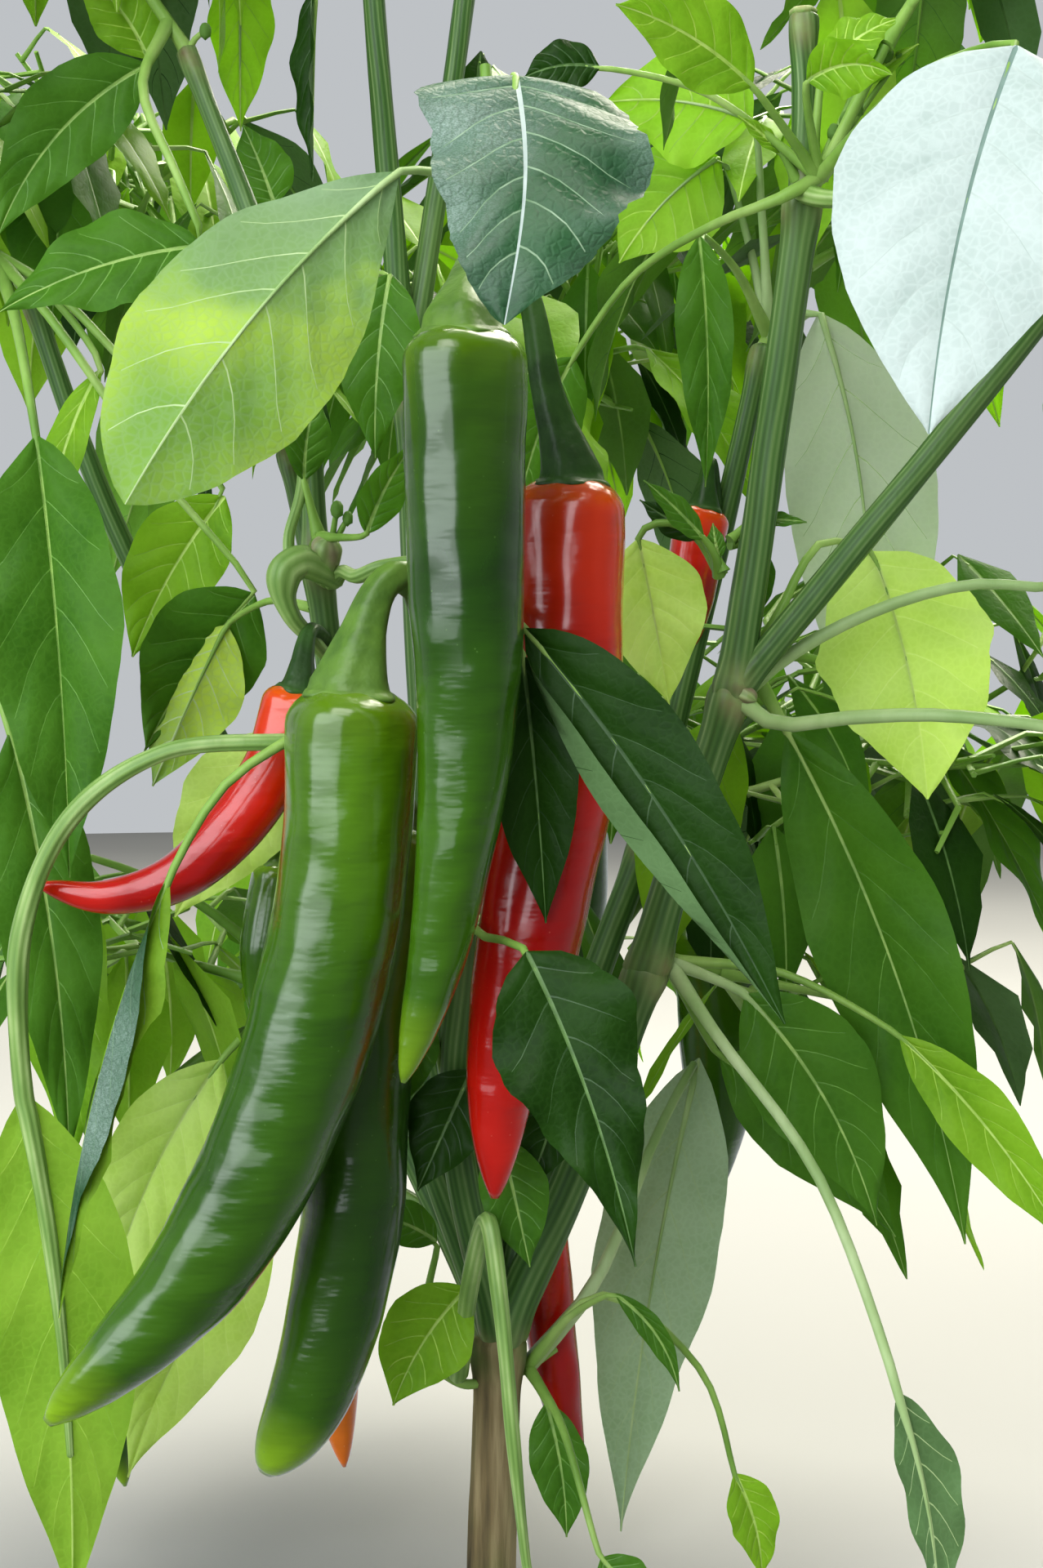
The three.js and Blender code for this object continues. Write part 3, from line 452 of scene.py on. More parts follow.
# how wide each pod is at shares of its length, against its radius
pod_shapes = {
    "pod_green_front": ((0.1, 1), (0.4, 0.92), (0.64, 0.69), (0.8, 0.52), (0.91, 0.36), (0.97, 0.21),
        (1, 0.05)),
    "pod_green_left": ((0.1, 1), (0.35, 1.02), (0.6, 0.95), (0.75, 0.8), (0.88, 0.58), (0.96, 0.38),
        (1, 0.1)),
    "pod_green_low": ((0.1, 1), (0.4, 1), (0.7, 0.93), (0.85, 0.8), (0.93, 0.64), (0.98, 0.42), (1, 0.15)),
    "pod_red_front": ((0.1, 1), (0.5, 1), (0.68, 0.92), (0.8, 0.72), (0.9, 0.5), (0.96, 0.32), (1, 0.08)),
    "pod_red_left": ((0.1, 1), (0.4, 0.95), (0.6, 0.8), (0.8, 0.58), (0.93, 0.36), (0.98, 0.2), (1, 0.05)),
}
usual_shape = ((0.1, 1), (0.45, 0.97), (0.68, 0.8), (0.85, 0.5), (0.95, 0.26), (1, 0.05))
# one front stalk bends over more sharply than its solid
sharp_stalk = [(-13, -57, 257), (-16.5, -65, 266.5), (-20.5, -70, 268.4), (-24.2, -71.5, 264.5)]
pod_stalk_routes = {"pod_green_left": sharp_stalk}


def pod_skin(name, along_colours, blotch_colour, dot_colour):
    finish = Finish(name, roughness=0.3, specular_ior_level=0.3, coat_weight=0.85, coat_roughness=0.15)
    slow = finish.noise(16, 2, (1, 1, 0.6))
    lumps = finish.noise(62, 1)
    ripple = finish.noise(90, 3, (0.4, 0.4, 1.6))
    fine = finish.noise(300, 3)
    skin = finish.ramp(finish.attribute("along"), *along_colours)
    blotched = finish.mix(finish.ramp(slow, (0.36, 0.85), (0.6, 0.0)), skin, blotch_colour)
    blotched = finish.spots(ripple, (0.5, 0.8, 0.3), blotched, blotch_colour)
    dots = finish.node("ShaderNodeTexVoronoi", scale=330)
    finish.link(finish.place(), dots.inputs["Vector"])
    dotted = finish.ramp(dots.outputs["Distance"], (0.045, 0.4), (0.08, 0.0))
    finish.colour(finish.mix(dotted, blotched, dot_colour))
    finish.roughness(fine, 0.17, 0.27)
    finish.bump((slow, 0.0022), (lumps, 0.0034), (ripple, 0.0011), (finish.noise(190, 2), 0.00012),
        (fine, 0.00003))
    return finish.material


skins = {
    unripe: pod_skin("green_skin", [(0.0, (0.16, 0.31, 0.006)), (0.08, (0.072, 0.18, 0.003)),
        (0.4, (0.034, 0.112, 0.002)), (0.88, (0.036, 0.112, 0.002)), (0.985, (0.22, 0.4, 0.008))],
        (0.005, 0.03, 0.002), (0.1, 0.22, 0.04)),
    # painted light and shade on ripe pods: orange at the top as if lit through, and darker red in the middle
    # as if shaded
    ripe: pod_skin("red_skin", [(0.0, (0.9, 0.16, 0.003)), (0.05, (0.85, 0.06, 0.002)),
        (0.3, (0.72, 0.014, 0.002)), (0.55, (0.44, 0.004, 0.003)), (0.75, (0.46, 0.004, 0.002)),
        (1.0, (0.82, 0.016, 0.003))], (0.28, 0.001, 0.002), (0.6, 0.12, 0.08)),
    turning: pod_skin("orange_skin", [(0.0, (0.35, 0.3, 0.02)), (0.3, (0.8, 0.28, 0.012)),
        (1.0, (0.85, 0.18, 0.01))], (0.6, 0.12, 0.01), (0.85, 0.5, 0.2)),
}


def stalk_green(name, light, dark, spots):
    finish = Finish(name, roughness=0.4, specular_ior_level=0.35)
    grain = finish.noise(150, 3)
    shade = finish.ramp(finish.attribute("along"), (0.0, light), (0.85, dark), (0.93, light), (0.97, dark))
    mottled = finish.spots(grain, (0.4, 0.65, 0.6), shade, spots)
    finish.colour(finish.spots(finish.noise(40, 2), (0.5, 0.75, 0.4), mottled, light))
    finish.bump((grain, 0.0007), (finish.noise(420, 2), 0.00012))
    return finish.material


pod_stalks = {
    unripe: stalk_green("stalk_green", (0.14, 0.25, 0.045), (0.085, 0.18, 0.02), (0.035, 0.09, 0.012)),
    # painted shade: the ripe pods' stalks and caps darker as if shaded
    ripe: stalk_green("stalk_dark", (0.045, 0.12, 0.02), (0.02, 0.065, 0.01), (0.008, 0.03, 0.005)),
}


def lofted(name, around, centres, ahead, radius):
    """A closed tube through rings: radius(angle, ring) gives each vertex's distance from its centre."""
    mesh, angle, ring = tube_mesh(name, around, len(centres) - 1)
    side, up = frames_along(ahead)
    set_places(mesh, centres[ring] + radius(angle, ring)[:, None] * spokes(angle, side[ring], up[ring]))
    return mesh, angle, ring


def grow_pod(pod, seed):
    name = pod["name"]
    size = pod["radius"]
    body = Line(pod["body"])
    shoulder = pod_shoulder * size
    turn = np.linspace(0.12, math.pi / 2, shoulder_rings)
    rest = np.linspace(shoulder, body.length, round((body.length - shoulder) / pod_step))[1:]
    along = np.concatenate([shoulder * (1 - np.cos(turn)), rest])
    share = along / body.length
    stops = arrays(pod_shapes.get(name, usual_shape))
    steps = np.linspace(-0.04, 0.04, 9)
    blunt = 1 - ((share - 0.9).clip(0) / 0.1) ** 3
    taper = np.mean([np.interp(share + step * blunt, *stops.T) for step in steps], axis=0)
    full = np.concatenate([size * (0.1 + 0.9 * np.sin(turn)), np.full(len(rest), size)]) * taper
    full = np.maximum(full * (1 + pod_uneven * waves(along, seed, 11)), 0.5)

    def skin(angle, ring):
        furrow = 0.05 * np.exp(-share[ring] / 0.16) * np.cos(3 * angle + seed)
        dent = 0
        for depth, lobes, turned, turn_seed, swelled, swell_seed in pod_dents:
            round_it = np.sin(lobes * angle + along[ring] / turned + turn_seed * seed)
            dent = dent + depth * round_it * np.sin(along[ring] / swelled + swell_seed * seed)
        return full[ring] * (1 + furrow + dent + 0.012 * np.cos(3 * angle + seed + along[ring] / 60))

    mesh, angle, ring = lofted("skin_" + name, pod_around, body.at(share), body.ahead(share), skin)
    set_values(mesh, "along", share[ring])
    piece = new_piece("skin_" + name, mesh, [skins[pod["colour"]]])
    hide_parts(name)
    grow_pod_stalk(pod, body, shoulder, seed)


def grow_pod_stalk(pod, body, shoulder, seed):
    name = pod["name"]
    size = pod["radius"]
    top = arrays(pod["body"][0])
    into = body.ahead([0.0])[0]
    root = limb_lines[pod["on"]].at([pod["at"]])[0]
    line = Line([root, *pod_stalk_routes.get(name, pod["stalk"]), top, top + into * size * stalk_sunk])
    end = line.length - size * stalk_sunk
    before = end - np.linspace(0, end, stalk_rings)
    cone = np.interp(before / size, *arrays(stalk_shape).T) * size
    cone = np.maximum(cone, pod_stalk_radius * 0.85) + 0.9 * bump_at(end - before, 0, 3)
    out = np.linspace(0, 1, skirt_rings + 1)[1:]
    rim = size * 0.72
    skirt = cone[-1] + (rim - cone[-1]) * out
    lie = shoulder * (1 - np.sqrt(np.clip(1 - (skirt / size * 1.04) ** 2, 0, 1))) * 0.86
    share = (end - before) / line.length
    centres = np.vstack([line.at(share), top + into * (lie - 0.7 * (1 - out**3))[:, None],
        top + into * (lie[-1] + arrays([0.5, 0.9]))[:, None]])
    ahead = np.vstack([line.ahead(share), np.tile(into, (skirt_rings + 2, 1))])
    full = np.concatenate([cone, skirt, rim * arrays([0.99, 0.6])])
    spread = np.concatenate([np.zeros(stalk_rings), out**2, [0.9, 0.1]])

    def surface(angle, ring):
        teeth = 0.07 * spread[ring] * np.cos(6 * angle + seed)
        teeth = teeth + 0.04 * spread[ring] * np.cos(angle * 2 + seed)
        ribs = 0.05 * np.cos(5 * angle + seed) * (1 - spread[ring])
        lumps = 0.05 * np.sin(2 * angle + ring / 5 + seed) * (1 - spread[ring])
        return full[ring] * (1 + teeth + ribs + lumps)

    mesh, angle, ring = lofted("cap_" + name, cap_around, centres, ahead, surface)
    along = [np.linspace(0, 0.86, stalk_rings), np.linspace(0.88, 0.96, skirt_rings), [0.98, 1]]
    set_values(mesh, "along", np.concatenate(along)[ring])
    new_piece("cap_" + name, mesh, [pod_stalks.get(pod["colour"], pod_stalks[unripe])])


for number, pod in enumerate(pods):
    grow_pod(pod, number)

# The leaves and their twigs, grown by the rule that the imported masses follow. The leaves that were placed
# one by one come first, then the twigs that fork in two, then finer twigs between them.


def spray(name, on, stem, at, reach, forks, seed, foot=None, leaf_at=0, leaves=()):
    """A mass of leaves: the turn, rise and length of its stem, and the middle and reach of its room."""
    return dict(name=name, on=on, stem=stem, at=arrays(at), reach=arrays(reach), forks=forks, seed=seed,
        foot=foot, leaf_at=leaf_at, leaves=leaves)


def placed(turn, rise, stalk, swing, droop, blade, width, curl, roll, tint, by=None, **look):
    """A leaf placed one by one: its stalk's turn, rise and length, and then its blade's hang, size and tint.
    """
    return dict(turn=turn, rise=rise, stalk=stalk, swing=swing, droop=droop, blade=blade, width=width,
        curl=curl, roll=roll, tint=tint, by=by, look=look)


masses = [
    spray("leaves_right_top", "bough_right_upper", (-20, 62, 34), (85, -30, 405), (115, 125, 180), 2, 11,
        foot=(80, -25, 366), leaves=[
        placed(-130, 30, 33, -20, -20, 40, 22, 30, 85, "bright"),
        placed(-105, 40, 28, 65, 5, 23, 15, 60, -60, "bright"),
        placed(-65, 10, 79, -70, 70, 89, 43, 25, -30, "silver", fold=10, cup=-12, wave=0.02, wide=1.3,
            outline=(0.7, 1.0)),
        placed(-175, 25, 59, 5, 10, 19, 14, 40, 110, "deep", by=[(52, -26, 386)]),
        placed(150, -30, 78, 30, 70, 42, 20, 20, 80, "fresh", by=[(70, -30, 360), (56, -20, 356),
            (36, 0, 346)]),
    ]),
    spray("leaves_right_outer", "bough_right_outer", (-10, 45, 26), (175, -30, 375), (90, 95, 115), 3, 23),
    spray("leaves_right_middle", "bough_right_middle", (60, 12, 24), (115, -10, 225), (105, 95, 145), 1, 31,
        foot=(64, -9, 246), leaf_at=0.2, leaves=[
        placed(-15, 15, 77, 35, 20, 52, 28, 40, -35, "fresh", stout=(1.35, 1.5), via=[(66, -10, 243),
            (72, -9, 248), (84, -11, 255.6), (96, -14, 261.4), (108, -17, 265.6), (121, -20, 268)]),
        placed(-30, -10, 81, 10, 30, 48, 29, 40, 35, "fresh", stout=(1.5, 1.8), via=[(64, -15, 238),
            (71, -20, 233.5), (88, -30, 235.3), (108, -40, 236.2)]),
        placed(25, 40, 47, -65, 75, 66, 44, 20, 60, "sunlit", fold=4, cup=-10, wave=0.04, uneven=2,
            outline=(0.62, 1.0), via=[(64.5, -7, 246), (68.2, -6, 253), (73.4, -5, 261.2),
            (79.5, -3, 273.5), (84.6, 0, 279)]),
        placed(30, -55, 19, -50, 70, 138, 33, 20, 85, "fresh", wide=1.1),
        placed(95, -25, 30, 95, 75, 71, 28, 30, -85, "bright"),
    ]),
    spray("leaves_right_low", "bough_right_low", (30, -15, 20), (90, -25, 115), (95, 95, 125), 1, 43,
        foot=(43, -4, 173), leaf_at=0.15, leaves=[
        placed(-40, -15, 25, 30, 60, 66, 31, 30, 80, "fresh", stout=(1, 1.4)),
        placed(40, -55, 33, -50, 45, 65, 26, 30, 90, "fresh"),
        placed(-20, -15, 62, 0, 50, 65, 18, 20, 85, "bright"),
        placed(-50, -50, 122, 35, 80, 56, 19, 20, 100, "ash", by=[(56, -25, 157), (79, -45, 126)],
            under=True, fold=34, wave=0.09, wide=0.95, stout=(1.1, 1.5)),
    ]),
    spray("leaves_foot_right", "trunk", (25, 25, 12), (50, 5, 85), (100, 100, 100), 0, 53, foot=(7, 3, 63),
        leaf_at=0.25, leaves=[
        placed(40, 50, 97, 160, 80, 133, 30, 10, -70, "dim", by=[(27, 10, 84), (45, 26, 122)], under=True,
            fold=18, wide=1.15),
        placed(-40, 40, 38, 25, 55, 29, 7, 50, 90, "fresh"),
        placed(-10, -25, 60, 0, 75, 28, 14, 30, 60, "bright", by=[(29, -6, 86), (54, -8, 67)]),
        placed(-65, -40, 56, 35, 50, 21, 14, 30, 60, "fresh", by=[(18, -14, 55)]),
        placed(-60, -35, 12, 30, 80, 35, 16, 20, 70, "fresh"),
    ]),
    spray("leaves_foot_left", "trunk", (-160, 30, 10), (-15, -25, 80), (80, 80, 100), 0, 59,
        foot=(-6, -4, 62), leaf_at=0.3, leaves=[
        placed(-80, 60, 33, -80, 55, 34, 24, 30, -65, "bright"),
        placed(-110, 70, 42, -65, -20, 21, 12, 40, -60, "fresh", by=[(-16, -12, 84)]),
        placed(-70, -30, 60, 10, 70, 24, 11, 30, 30, "deep", by=[(-4, -34, 100), (0, -50, 116),
            (3, -54, 98), (6, -56, 66)], ribbed=(2.4, 2.3, 2)),
    ]),
    spray("leaves_front", "bough_front_low", (-80, 25, 8), (20, -75, 200), (80, 70, 115), 0, 61,
        foot=(-4, -49, 263), leaf_at=0.4, leaves=[
        placed(-65, -15, 30, 45, 55, 104, 30, 15, 90, "dusk", edge=(156, 0.58), fold=8, cup=-6, wave=0.02,
            wide=1.2, lop=0.18),
        placed(-60, -30, 27, 60, 85, 61, 14, 4, -90, "deep", fold=22, wave=0.03, wide=1.5),
        placed(-70, -65, 87, 30, 65, 72, 32, 20, 50, "deep", by=[(-5, -68, 214)], fold=14, cup=-10,
            wave=0.1, waves=3.2, uneven=3, outline=(0.66, 1.5), wide=0.95, via=[(-9, -58, 235),
            (-10, -60, 200), (-3, -66, 187.5), (3, -76, 187)]),
    ]),
    spray("leaves_front_top", "bough_front_high", (100, 75, 34), (-20, -60, 390), (125, 110, 165), 2, 67,
        foot=(1, -45, 357), leaf_at=0.12, leaves=[
        placed(-83, 15, 51, -12, 65, 62, 49, 35, -5, "gloss", teeth=1, fold=6, cup=-16, wave=0.06, waves=3,
            quilt=0.8, uneven=2.4, outline=(0.34, 0.85), lop=-0.12, sway=-0.07),
        placed(-125, -5, 35, -30, 50, 98, 43, 20, -70, "pale", under=True, fold=12, cup=14, wave=0.03,
            wide=1.1, outline=(1.0, 0.85)),
    ]),
    spray("leaves_left_knuckle", "bough_left_middle", (-75, 20, 7), (-36, -42, 290), (50, 45, 50), 0, 71,
        foot=(-42, -29, 277), leaf_at=0.75, leaves=[
        placed(-55, 0, 22, 20, -55, 25, 11, 25, -35, "fresh"),
        placed(-165, 75, 14, -140, -75, 23, 12, 30, 60, "fresh"),
    ]),
    spray("leaves_left_front", "bough_left_low", (-88, 0, 18), (-82, -48, 130), (85, 65, 140), 0, 73,
        foot=(-38, -24, 234), leaf_at=1, leaves=[
        placed(-175, -50, 114, 160, 85, 126, 37, 15, 70, "bright", by=[(-43, -54, 231), (-75, -56, 228),
            (-97, -54, 213), (-110, -50, 185)], under=True, fold=8, ribbed=(1.7, 2.1, 2.5)),
        placed(-150, -40, 54, -5, 75, 103, 15, 20, -45, "rolled", by=[(-42, -55, 233), (-60, -62, 221)],
            edge=(150, 0.06), fold=8, cup=-4, wave=0.04, waves=5, uneven=8, wide=1.2, stout=(0.8, 1)),
    ]),
    spray("leaves_left_top", "bough_left_upper", (165, 55, 30), (-108, -5, 425), (90, 90, 130), 2, 79,
        leaf_at=0.3, leaves=[
        placed(-65, -65, 65, -100, 20, 51, 26, 25, 115, "fresh", by=[(-84, -22, 388), (-74, -30, 364)]),
        placed(-130, -60, 13, -30, 50, 58, 24, 40, 100, "fresh"),
        placed(130, -35, 12, 50, -50, 30, 18, 40, 100, "bright"),
    ]),
    spray("leaves_left_outer", "bough_outer_high", (175, 50, 28), (-135, 15, 280), (100, 100, 185), 2, 83,
        leaf_at=0.5, leaves=[
        placed(-65, -50, 66, 0, 75, 112, 38, 25, 25, "fresh", fold=24, wave=0.06),
        placed(-75, -70, 132, 40, 80, 109, 26, 20, 35, "fresh", by=[(-140, 8, 330), (-136, -6, 280)]),
        placed(-35, -40, 50, -110, 75, 59, 12, 35, -35, "bright"),
        placed(-15, -45, 91, -155, 60, 48, 26, 20, -80, "bright", by=[(-110, 12, 342)]),
        placed(-20, -50, 117, -150, 55, 49, 31, 20, -100, "fresh", by=[(-112, 4, 336), (-84, 2, 296)]),
    ]),
    spray("leaves_left_low", "bough_outer_low", (-165, 5, 22), (-98, 15, 125), (90, 95, 115), 2, 89,
        foot=(-43, 20, 163), leaf_at=0.42, leaves=[
        placed(-145, -40, 29, -25, 65, 72, 28, 25, -85, "sunlit"),
        placed(-100, -65, 62, -60, 60, 74, 29, 25, -70, "sunlit"),
        placed(-170, 30, 69, 95, 80, 80, 25, 25, 25, "bright"),
    ]),
    spray("leaves_centre_low", "bough_centre", (130, 20, 26), (-30, 45, 340), (75, 75, 100), 1, 97,
        foot=(-24, 24, 326), leaf_at=0.42, leaves=[
        placed(-145, 50, 48, -65, -65, 24, 16, 10, -60, "fresh"),
        placed(-80, 30, 35, -35, 80, 48, 21, 25, -20, "fresh", by=[(-36, 16, 344)]),
    ]),
    spray("leaves_centre_left", "bough_centre_left", (150, 62, 30), (-55, 30, 465), (90, 90, 115), 2, 101,
        leaf_at=0.55, leaves=[
        placed(135, -35, 50, -30, 85, 51, 19, 15, 30, "bright", under=True),
        placed(-105, -70, 59, 15, 85, 49, 12, 15, 55, "deep", fold=40),
    ]),
    spray("leaves_centre_right", "bough_centre_right", (40, 62, 32), (20, 60, 475), (105, 100, 115), 3,
        103),
    spray("leaves_rear_right_top", "bough_rear_right_high", (35, 55, 30), (95, 70, 375), (95, 95, 165), 2,
        107, leaf_at=0.15, leaves=[
        placed(-105, 60, 61, -90, -10, 41, 33, 30, 90, "bright", under=True),
        placed(-135, 65, 51, -55, 45, 39, 33, 30, 100, "bright", under=True),
        placed(-120, 25, 50, 45, 85, 66, 17, 30, 30, "fresh", fold=30, wave=0.07),
        placed(-60, 10, 23, 60, 85, 121, 38, 30, -90, "milky", under=True, fold=8, wide=1.1),
    ]),
    spray("leaves_rear_right_low", "bough_rear_right_low", (30, 20, 30), (100, 80, 180), (105, 105, 140), 3,
        109),
    spray("leaves_rear_top", "bough_rear_high", (80, 50, 32), (20, 135, 330), (110, 105, 145), 3, 113),
    spray("leaves_rear_low", "bough_rear_low", (95, 10, 30), (0, 115, 140), (105, 100, 125), 3, 127),
    spray("leaves_rear_left", "bough_rear_left", (130, 50, 32), (-85, 115, 325), (110, 110, 150), 3, 131),
]


stalk_arch = 0.1
short_stalk = 36
twig_taper = 0.78
twig_shorter = 0.86
twig_length = 34
twig_radius = 2.0
leaf_places = ((0.58, -1), (0.84, 1))
blade_spacing = 8
stalk_spacing = 5
leaf_room = 5.5
fine_room = 3.4
fine_scale = 0.62
fine_droop = 14
fine_length = 19
fine_radius = 1.1
fine_places = ((1.0, -38), (1.0, 34), (0.6, 95), (0.35, -85))
limb_room = 2.4
ball_spacing = 4
camera_place = arrays([8, -600, 253])
# how the open space before the plant widens from there, and how deep it goes for each kind of twig
open_front = dict(across=0.235, up=0.275, down=0.41)
front_depth = dict(rule=-32, fine=-6)
room_round = dict(placed=leaf_room, rule=leaf_room, fine=fine_room)
ball_reach = 20
twig_tests = arrays([0.4, 0.7, 1])
blade_tests_across = arrays([-0.85, -0.4, 0, 0.4, 0.85])
lowest_leaf = 2
reach_margin = 1
trunk_inner = 0.88
bough_inner = 0.99
draw_factor = 16807
draw_range = 2147483647

drawn = 1


def draw(low, high):
    global drawn
    drawn = drawn * draw_factor % draw_range
    return low + (high - low) * (drawn / draw_range)


def polar(turn, rise, length):
    turn, rise = math.radians(turn), math.radians(rise)
    level = length * math.cos(rise)
    return arrays([level * math.cos(turn), level * math.sin(turn), length * math.sin(rise)])


def turned_about(vector, axis, angle):
    angle = math.radians(angle)
    return (vector * math.cos(angle) + np.cross(axis, vector) * math.sin(angle)
        + axis * (axis @ vector) * (1 - math.cos(angle)))


# What the leaves keep clear of: balls along every limb and pod, and the points tested on each leaf
balls = []
ball_radii = []


def add_balls(line, radius_at):
    steps = math.ceil(line.length / ball_spacing)
    for i in range(steps + 1):
        balls.append(line.at([i / steps])[0])
        ball_radii.append(radius_at(i / steps))


for limb in limbs:
    low, high = limb["radii"]
    add_balls(limb_lines[limb["name"]], lambda along: low + (high - low) * along)
for pod in pods:
    top, second = arrays(pod["body"][0]), arrays(pod["body"][1])
    root = limb_lines[pod["on"]].at([pod["at"]])[0]
    size = pod["radius"]
    inward = unit(second - top) * size * stalk_sunk
    add_balls(Line([root, *pod["stalk"], top, top + inward]),
        lambda along: pod_stalk_radius if along < 0.7 else size * pod_cap)
    add_balls(Line(pod["body"]),
        lambda along: size if along < 0.55 else size * (1 - 0.8 * (along - 0.55) / 0.45))
balls = arrays(balls)
ball_radii = arrays(ball_radii)
tested = np.zeros((0, 3))
tested_mass = np.zeros(0, int)
tested_blade = np.zeros(0, bool)


class Leaf:
    """One leaf: its midrib, the side of its blade, and the way of its stalk."""

    def __init__(self, size, root):
        self.size = size
        heading_turn = size["turn"] + size["swing"]
        self.blade, self.width = size["blade"], size["width"]
        self.base = root + polar(size["turn"], size["rise"], size["stalk"])
        self.heading = polar(heading_turn, -size["droop"], 1)
        above = polar(heading_turn, 90 - size["droop"], 1)
        self.tip = self.base + self.heading * self.blade
        sag = self.blade * math.tan(math.radians(size["curl"] / 4))
        self.bow = (self.base + self.tip) / 2 + above * sag
        self.side = turned_about(polar(heading_turn + 90, 0, 1), self.heading, size["roll"])
        arch = (root + self.base) / 2 + arrays([0, 0, size["stalk"] * stalk_arch])
        arched = [arch] if size["stalk"] >= short_stalk else []
        middle = [arrays(point) for point in size["by"]] if size.get("by") else arched
        self.stem = [root, *middle, self.base]

    def midrib(self, along):
        along = np.asarray(along, float)[..., None]
        return (1 - along) ** 2 * self.base + 2 * along * (1 - along) * self.bow + along**2 * self.tip

    def along_midrib(self, along):
        along = np.asarray(along, float)[..., None]
        return unit((1 - along) * (self.bow - self.base) + along * (self.tip - self.bow))

    def blade_tests(self):
        steps = math.floor(self.blade / blade_spacing + 0.5)
        along = np.arange(steps + 1) / steps
        half = 0.5 * self.width * np.abs(np.sin(math.pi * along**0.75)) ** 0.8
        points = self.midrib(along)[:, None] + (half[:, None] * blade_tests_across)[..., None] * self.side
        return points.reshape(-1, 3)

    def stalk_tests(self):
        line = Line(self.stem)
        steps = math.ceil(line.length / stalk_spacing)
        inner = (np.arange(max(steps - 3, 0)) + 2) / steps
        return line.at(inner) if len(inner) else np.zeros((0, 3))


def in_space(mass, points):
    off = (points - mass["at"]) / mass["reach"]
    return bool(np.all(np.linalg.norm(off, axis=1) <= 1) and np.all(points[:, 2] > lowest_leaf))


def in_reach(points):
    """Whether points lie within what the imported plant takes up."""
    low, high = arrays(cad_box) / METRE
    return bool(np.all(points > low - reach_margin) and np.all(points < high + reach_margin))


def in_open_front(points, depth):
    aside, away, height = (points - camera_place).T
    level = np.abs(aside) < open_front["across"] * away
    inside = level & (height < open_front["up"] * away) & (height > -open_front["down"] * away)
    return bool(np.any(inside & (points[:, 1] < depth)))


def around(places, points, room):
    """Which places lie in the box round the points, grown by the room."""
    return np.all((places > points.min(0) - room) & (places < points.max(0) + room), axis=1)


def is_clear(mass, points, is_blade, room):
    if not len(points):
        return True
    close = around(balls, points, ball_reach)
    apart = np.linalg.norm(points[:, None] - balls[close], axis=2)
    if np.any(apart < ball_radii[close] + limb_room):
        return False
    others = around(tested, points, room) & ((tested_mass != mass["seed"]) | (is_blade & tested_blade))
    return not np.any(np.linalg.norm(points[:, None] - tested[others], axis=2) < room)


def keep(mass, points, is_blade):
    global tested, tested_mass, tested_blade
    tested = np.vstack([tested, points])
    tested_mass = np.append(tested_mass, np.full(len(points), mass["seed"]))
    tested_blade = np.append(tested_blade, np.full(len(points), is_blade))


grown_leaves = []
grown_twigs = []
twig_ends = []


def add_leaf(mass, size, root, kind):
    leaf = Leaf(size, root)
    room = room_round[kind]
    blade, stalk = leaf.blade_tests(), leaf.stalk_tests()
    blocked = kind != "placed" and in_open_front(np.vstack([blade, stalk]), front_depth[kind])
    if not in_space(mass, blade) or blocked or (kind == "fine" and not in_reach(blade)):
        return
    if not is_clear(mass, blade, True, room) or not is_clear(mass, stalk, False, room):
        return
    keep(mass, blade, True)
    keep(mass, stalk, False)
    leaf.mass, leaf.kind = mass["name"], kind
    grown_leaves.append(leaf)


def grow_twig(mass, start, turn, rise, length, radius, forks, kind="rule"):
    end = start + polar(turn + draw(-10, 10), rise + draw(-8, 8), length)
    points = start + (end - start) * twig_tests[:, None]
    if not in_space(mass, points) or in_open_front(points, front_depth[kind]):
        return
    if not is_clear(mass, points, False, room_round[kind]):
        return
    keep(mass, points, False)
    leaves_before = len(grown_leaves)
    grown_twigs.append(([start, end], radius, radius * twig_taper, kind))
    twig_ends.append((mass, start, end, turn, rise))
    for along, side in leaf_places:
        size = leaf_by_rule(turn, side, fine_scale if kind == "fine" else 1)
        if kind == "fine":
            size["droop"] += fine_droop
        add_leaf(mass, size, start + (end - start) * along, kind)
    if forks > 0:
        for side in (-1, 1):
            away = turn + side * draw(32, 62)
            next_rise = rise + draw(-28, 14)
            grow_twig(mass, end, away, next_rise, length * twig_shorter, radius * twig_taper, forks - 1,
                kind)
    if kind == "fine" and len(grown_leaves) == leaves_before:
        grown_twigs.pop()


def leaf_by_rule(turn, side, scale):
    blade = draw(58, 104) * scale
    return dict(turn=turn + side * draw(35, 120), rise=draw(-15, 40), stalk=draw(20, 42) * scale,
        swing=draw(-25, 25), droop=draw(20, 72), blade=blade, width=blade * draw(0.36, 0.5),
        curl=draw(10, 40), roll=draw(-25, 25))


for mass in masses:
    foot = arrays(mass["foot"] or limb_tips[mass["on"]])
    inner = limb_lines[mass["on"]].at([trunk_inner if mass["on"] == "trunk" else bough_inner])[0]
    mass["end"] = foot + polar(*mass["stem"])
    grown_twigs.append(([inner, foot, mass["end"]], twig_radius, twig_radius, "rule"))
    for size in mass["leaves"]:
        add_leaf(mass, size, foot + (mass["end"] - foot) * mass["leaf_at"], "placed")

for mass in masses:
    drawn = mass["seed"]
    turn, rise = mass["stem"][:2]
    for side in (-1, 1) if mass["forks"] > 0 else ():
        away = turn + side * draw(30, 55)
        grow_twig(mass, mass["end"], away, rise + draw(-20, 10), twig_length, twig_radius, mass["forks"] - 1)

# The finer twigs: each grows from the side or the end of a packed twig
drawn = 7
for mass, start, end, turn, rise in list(twig_ends):
    for along, aside in fine_places:
        place = start + (end - start) * along
        grow_twig(mass, place, turn + aside, rise + draw(-30, 25), fine_length, fine_radius, 1, "fine")

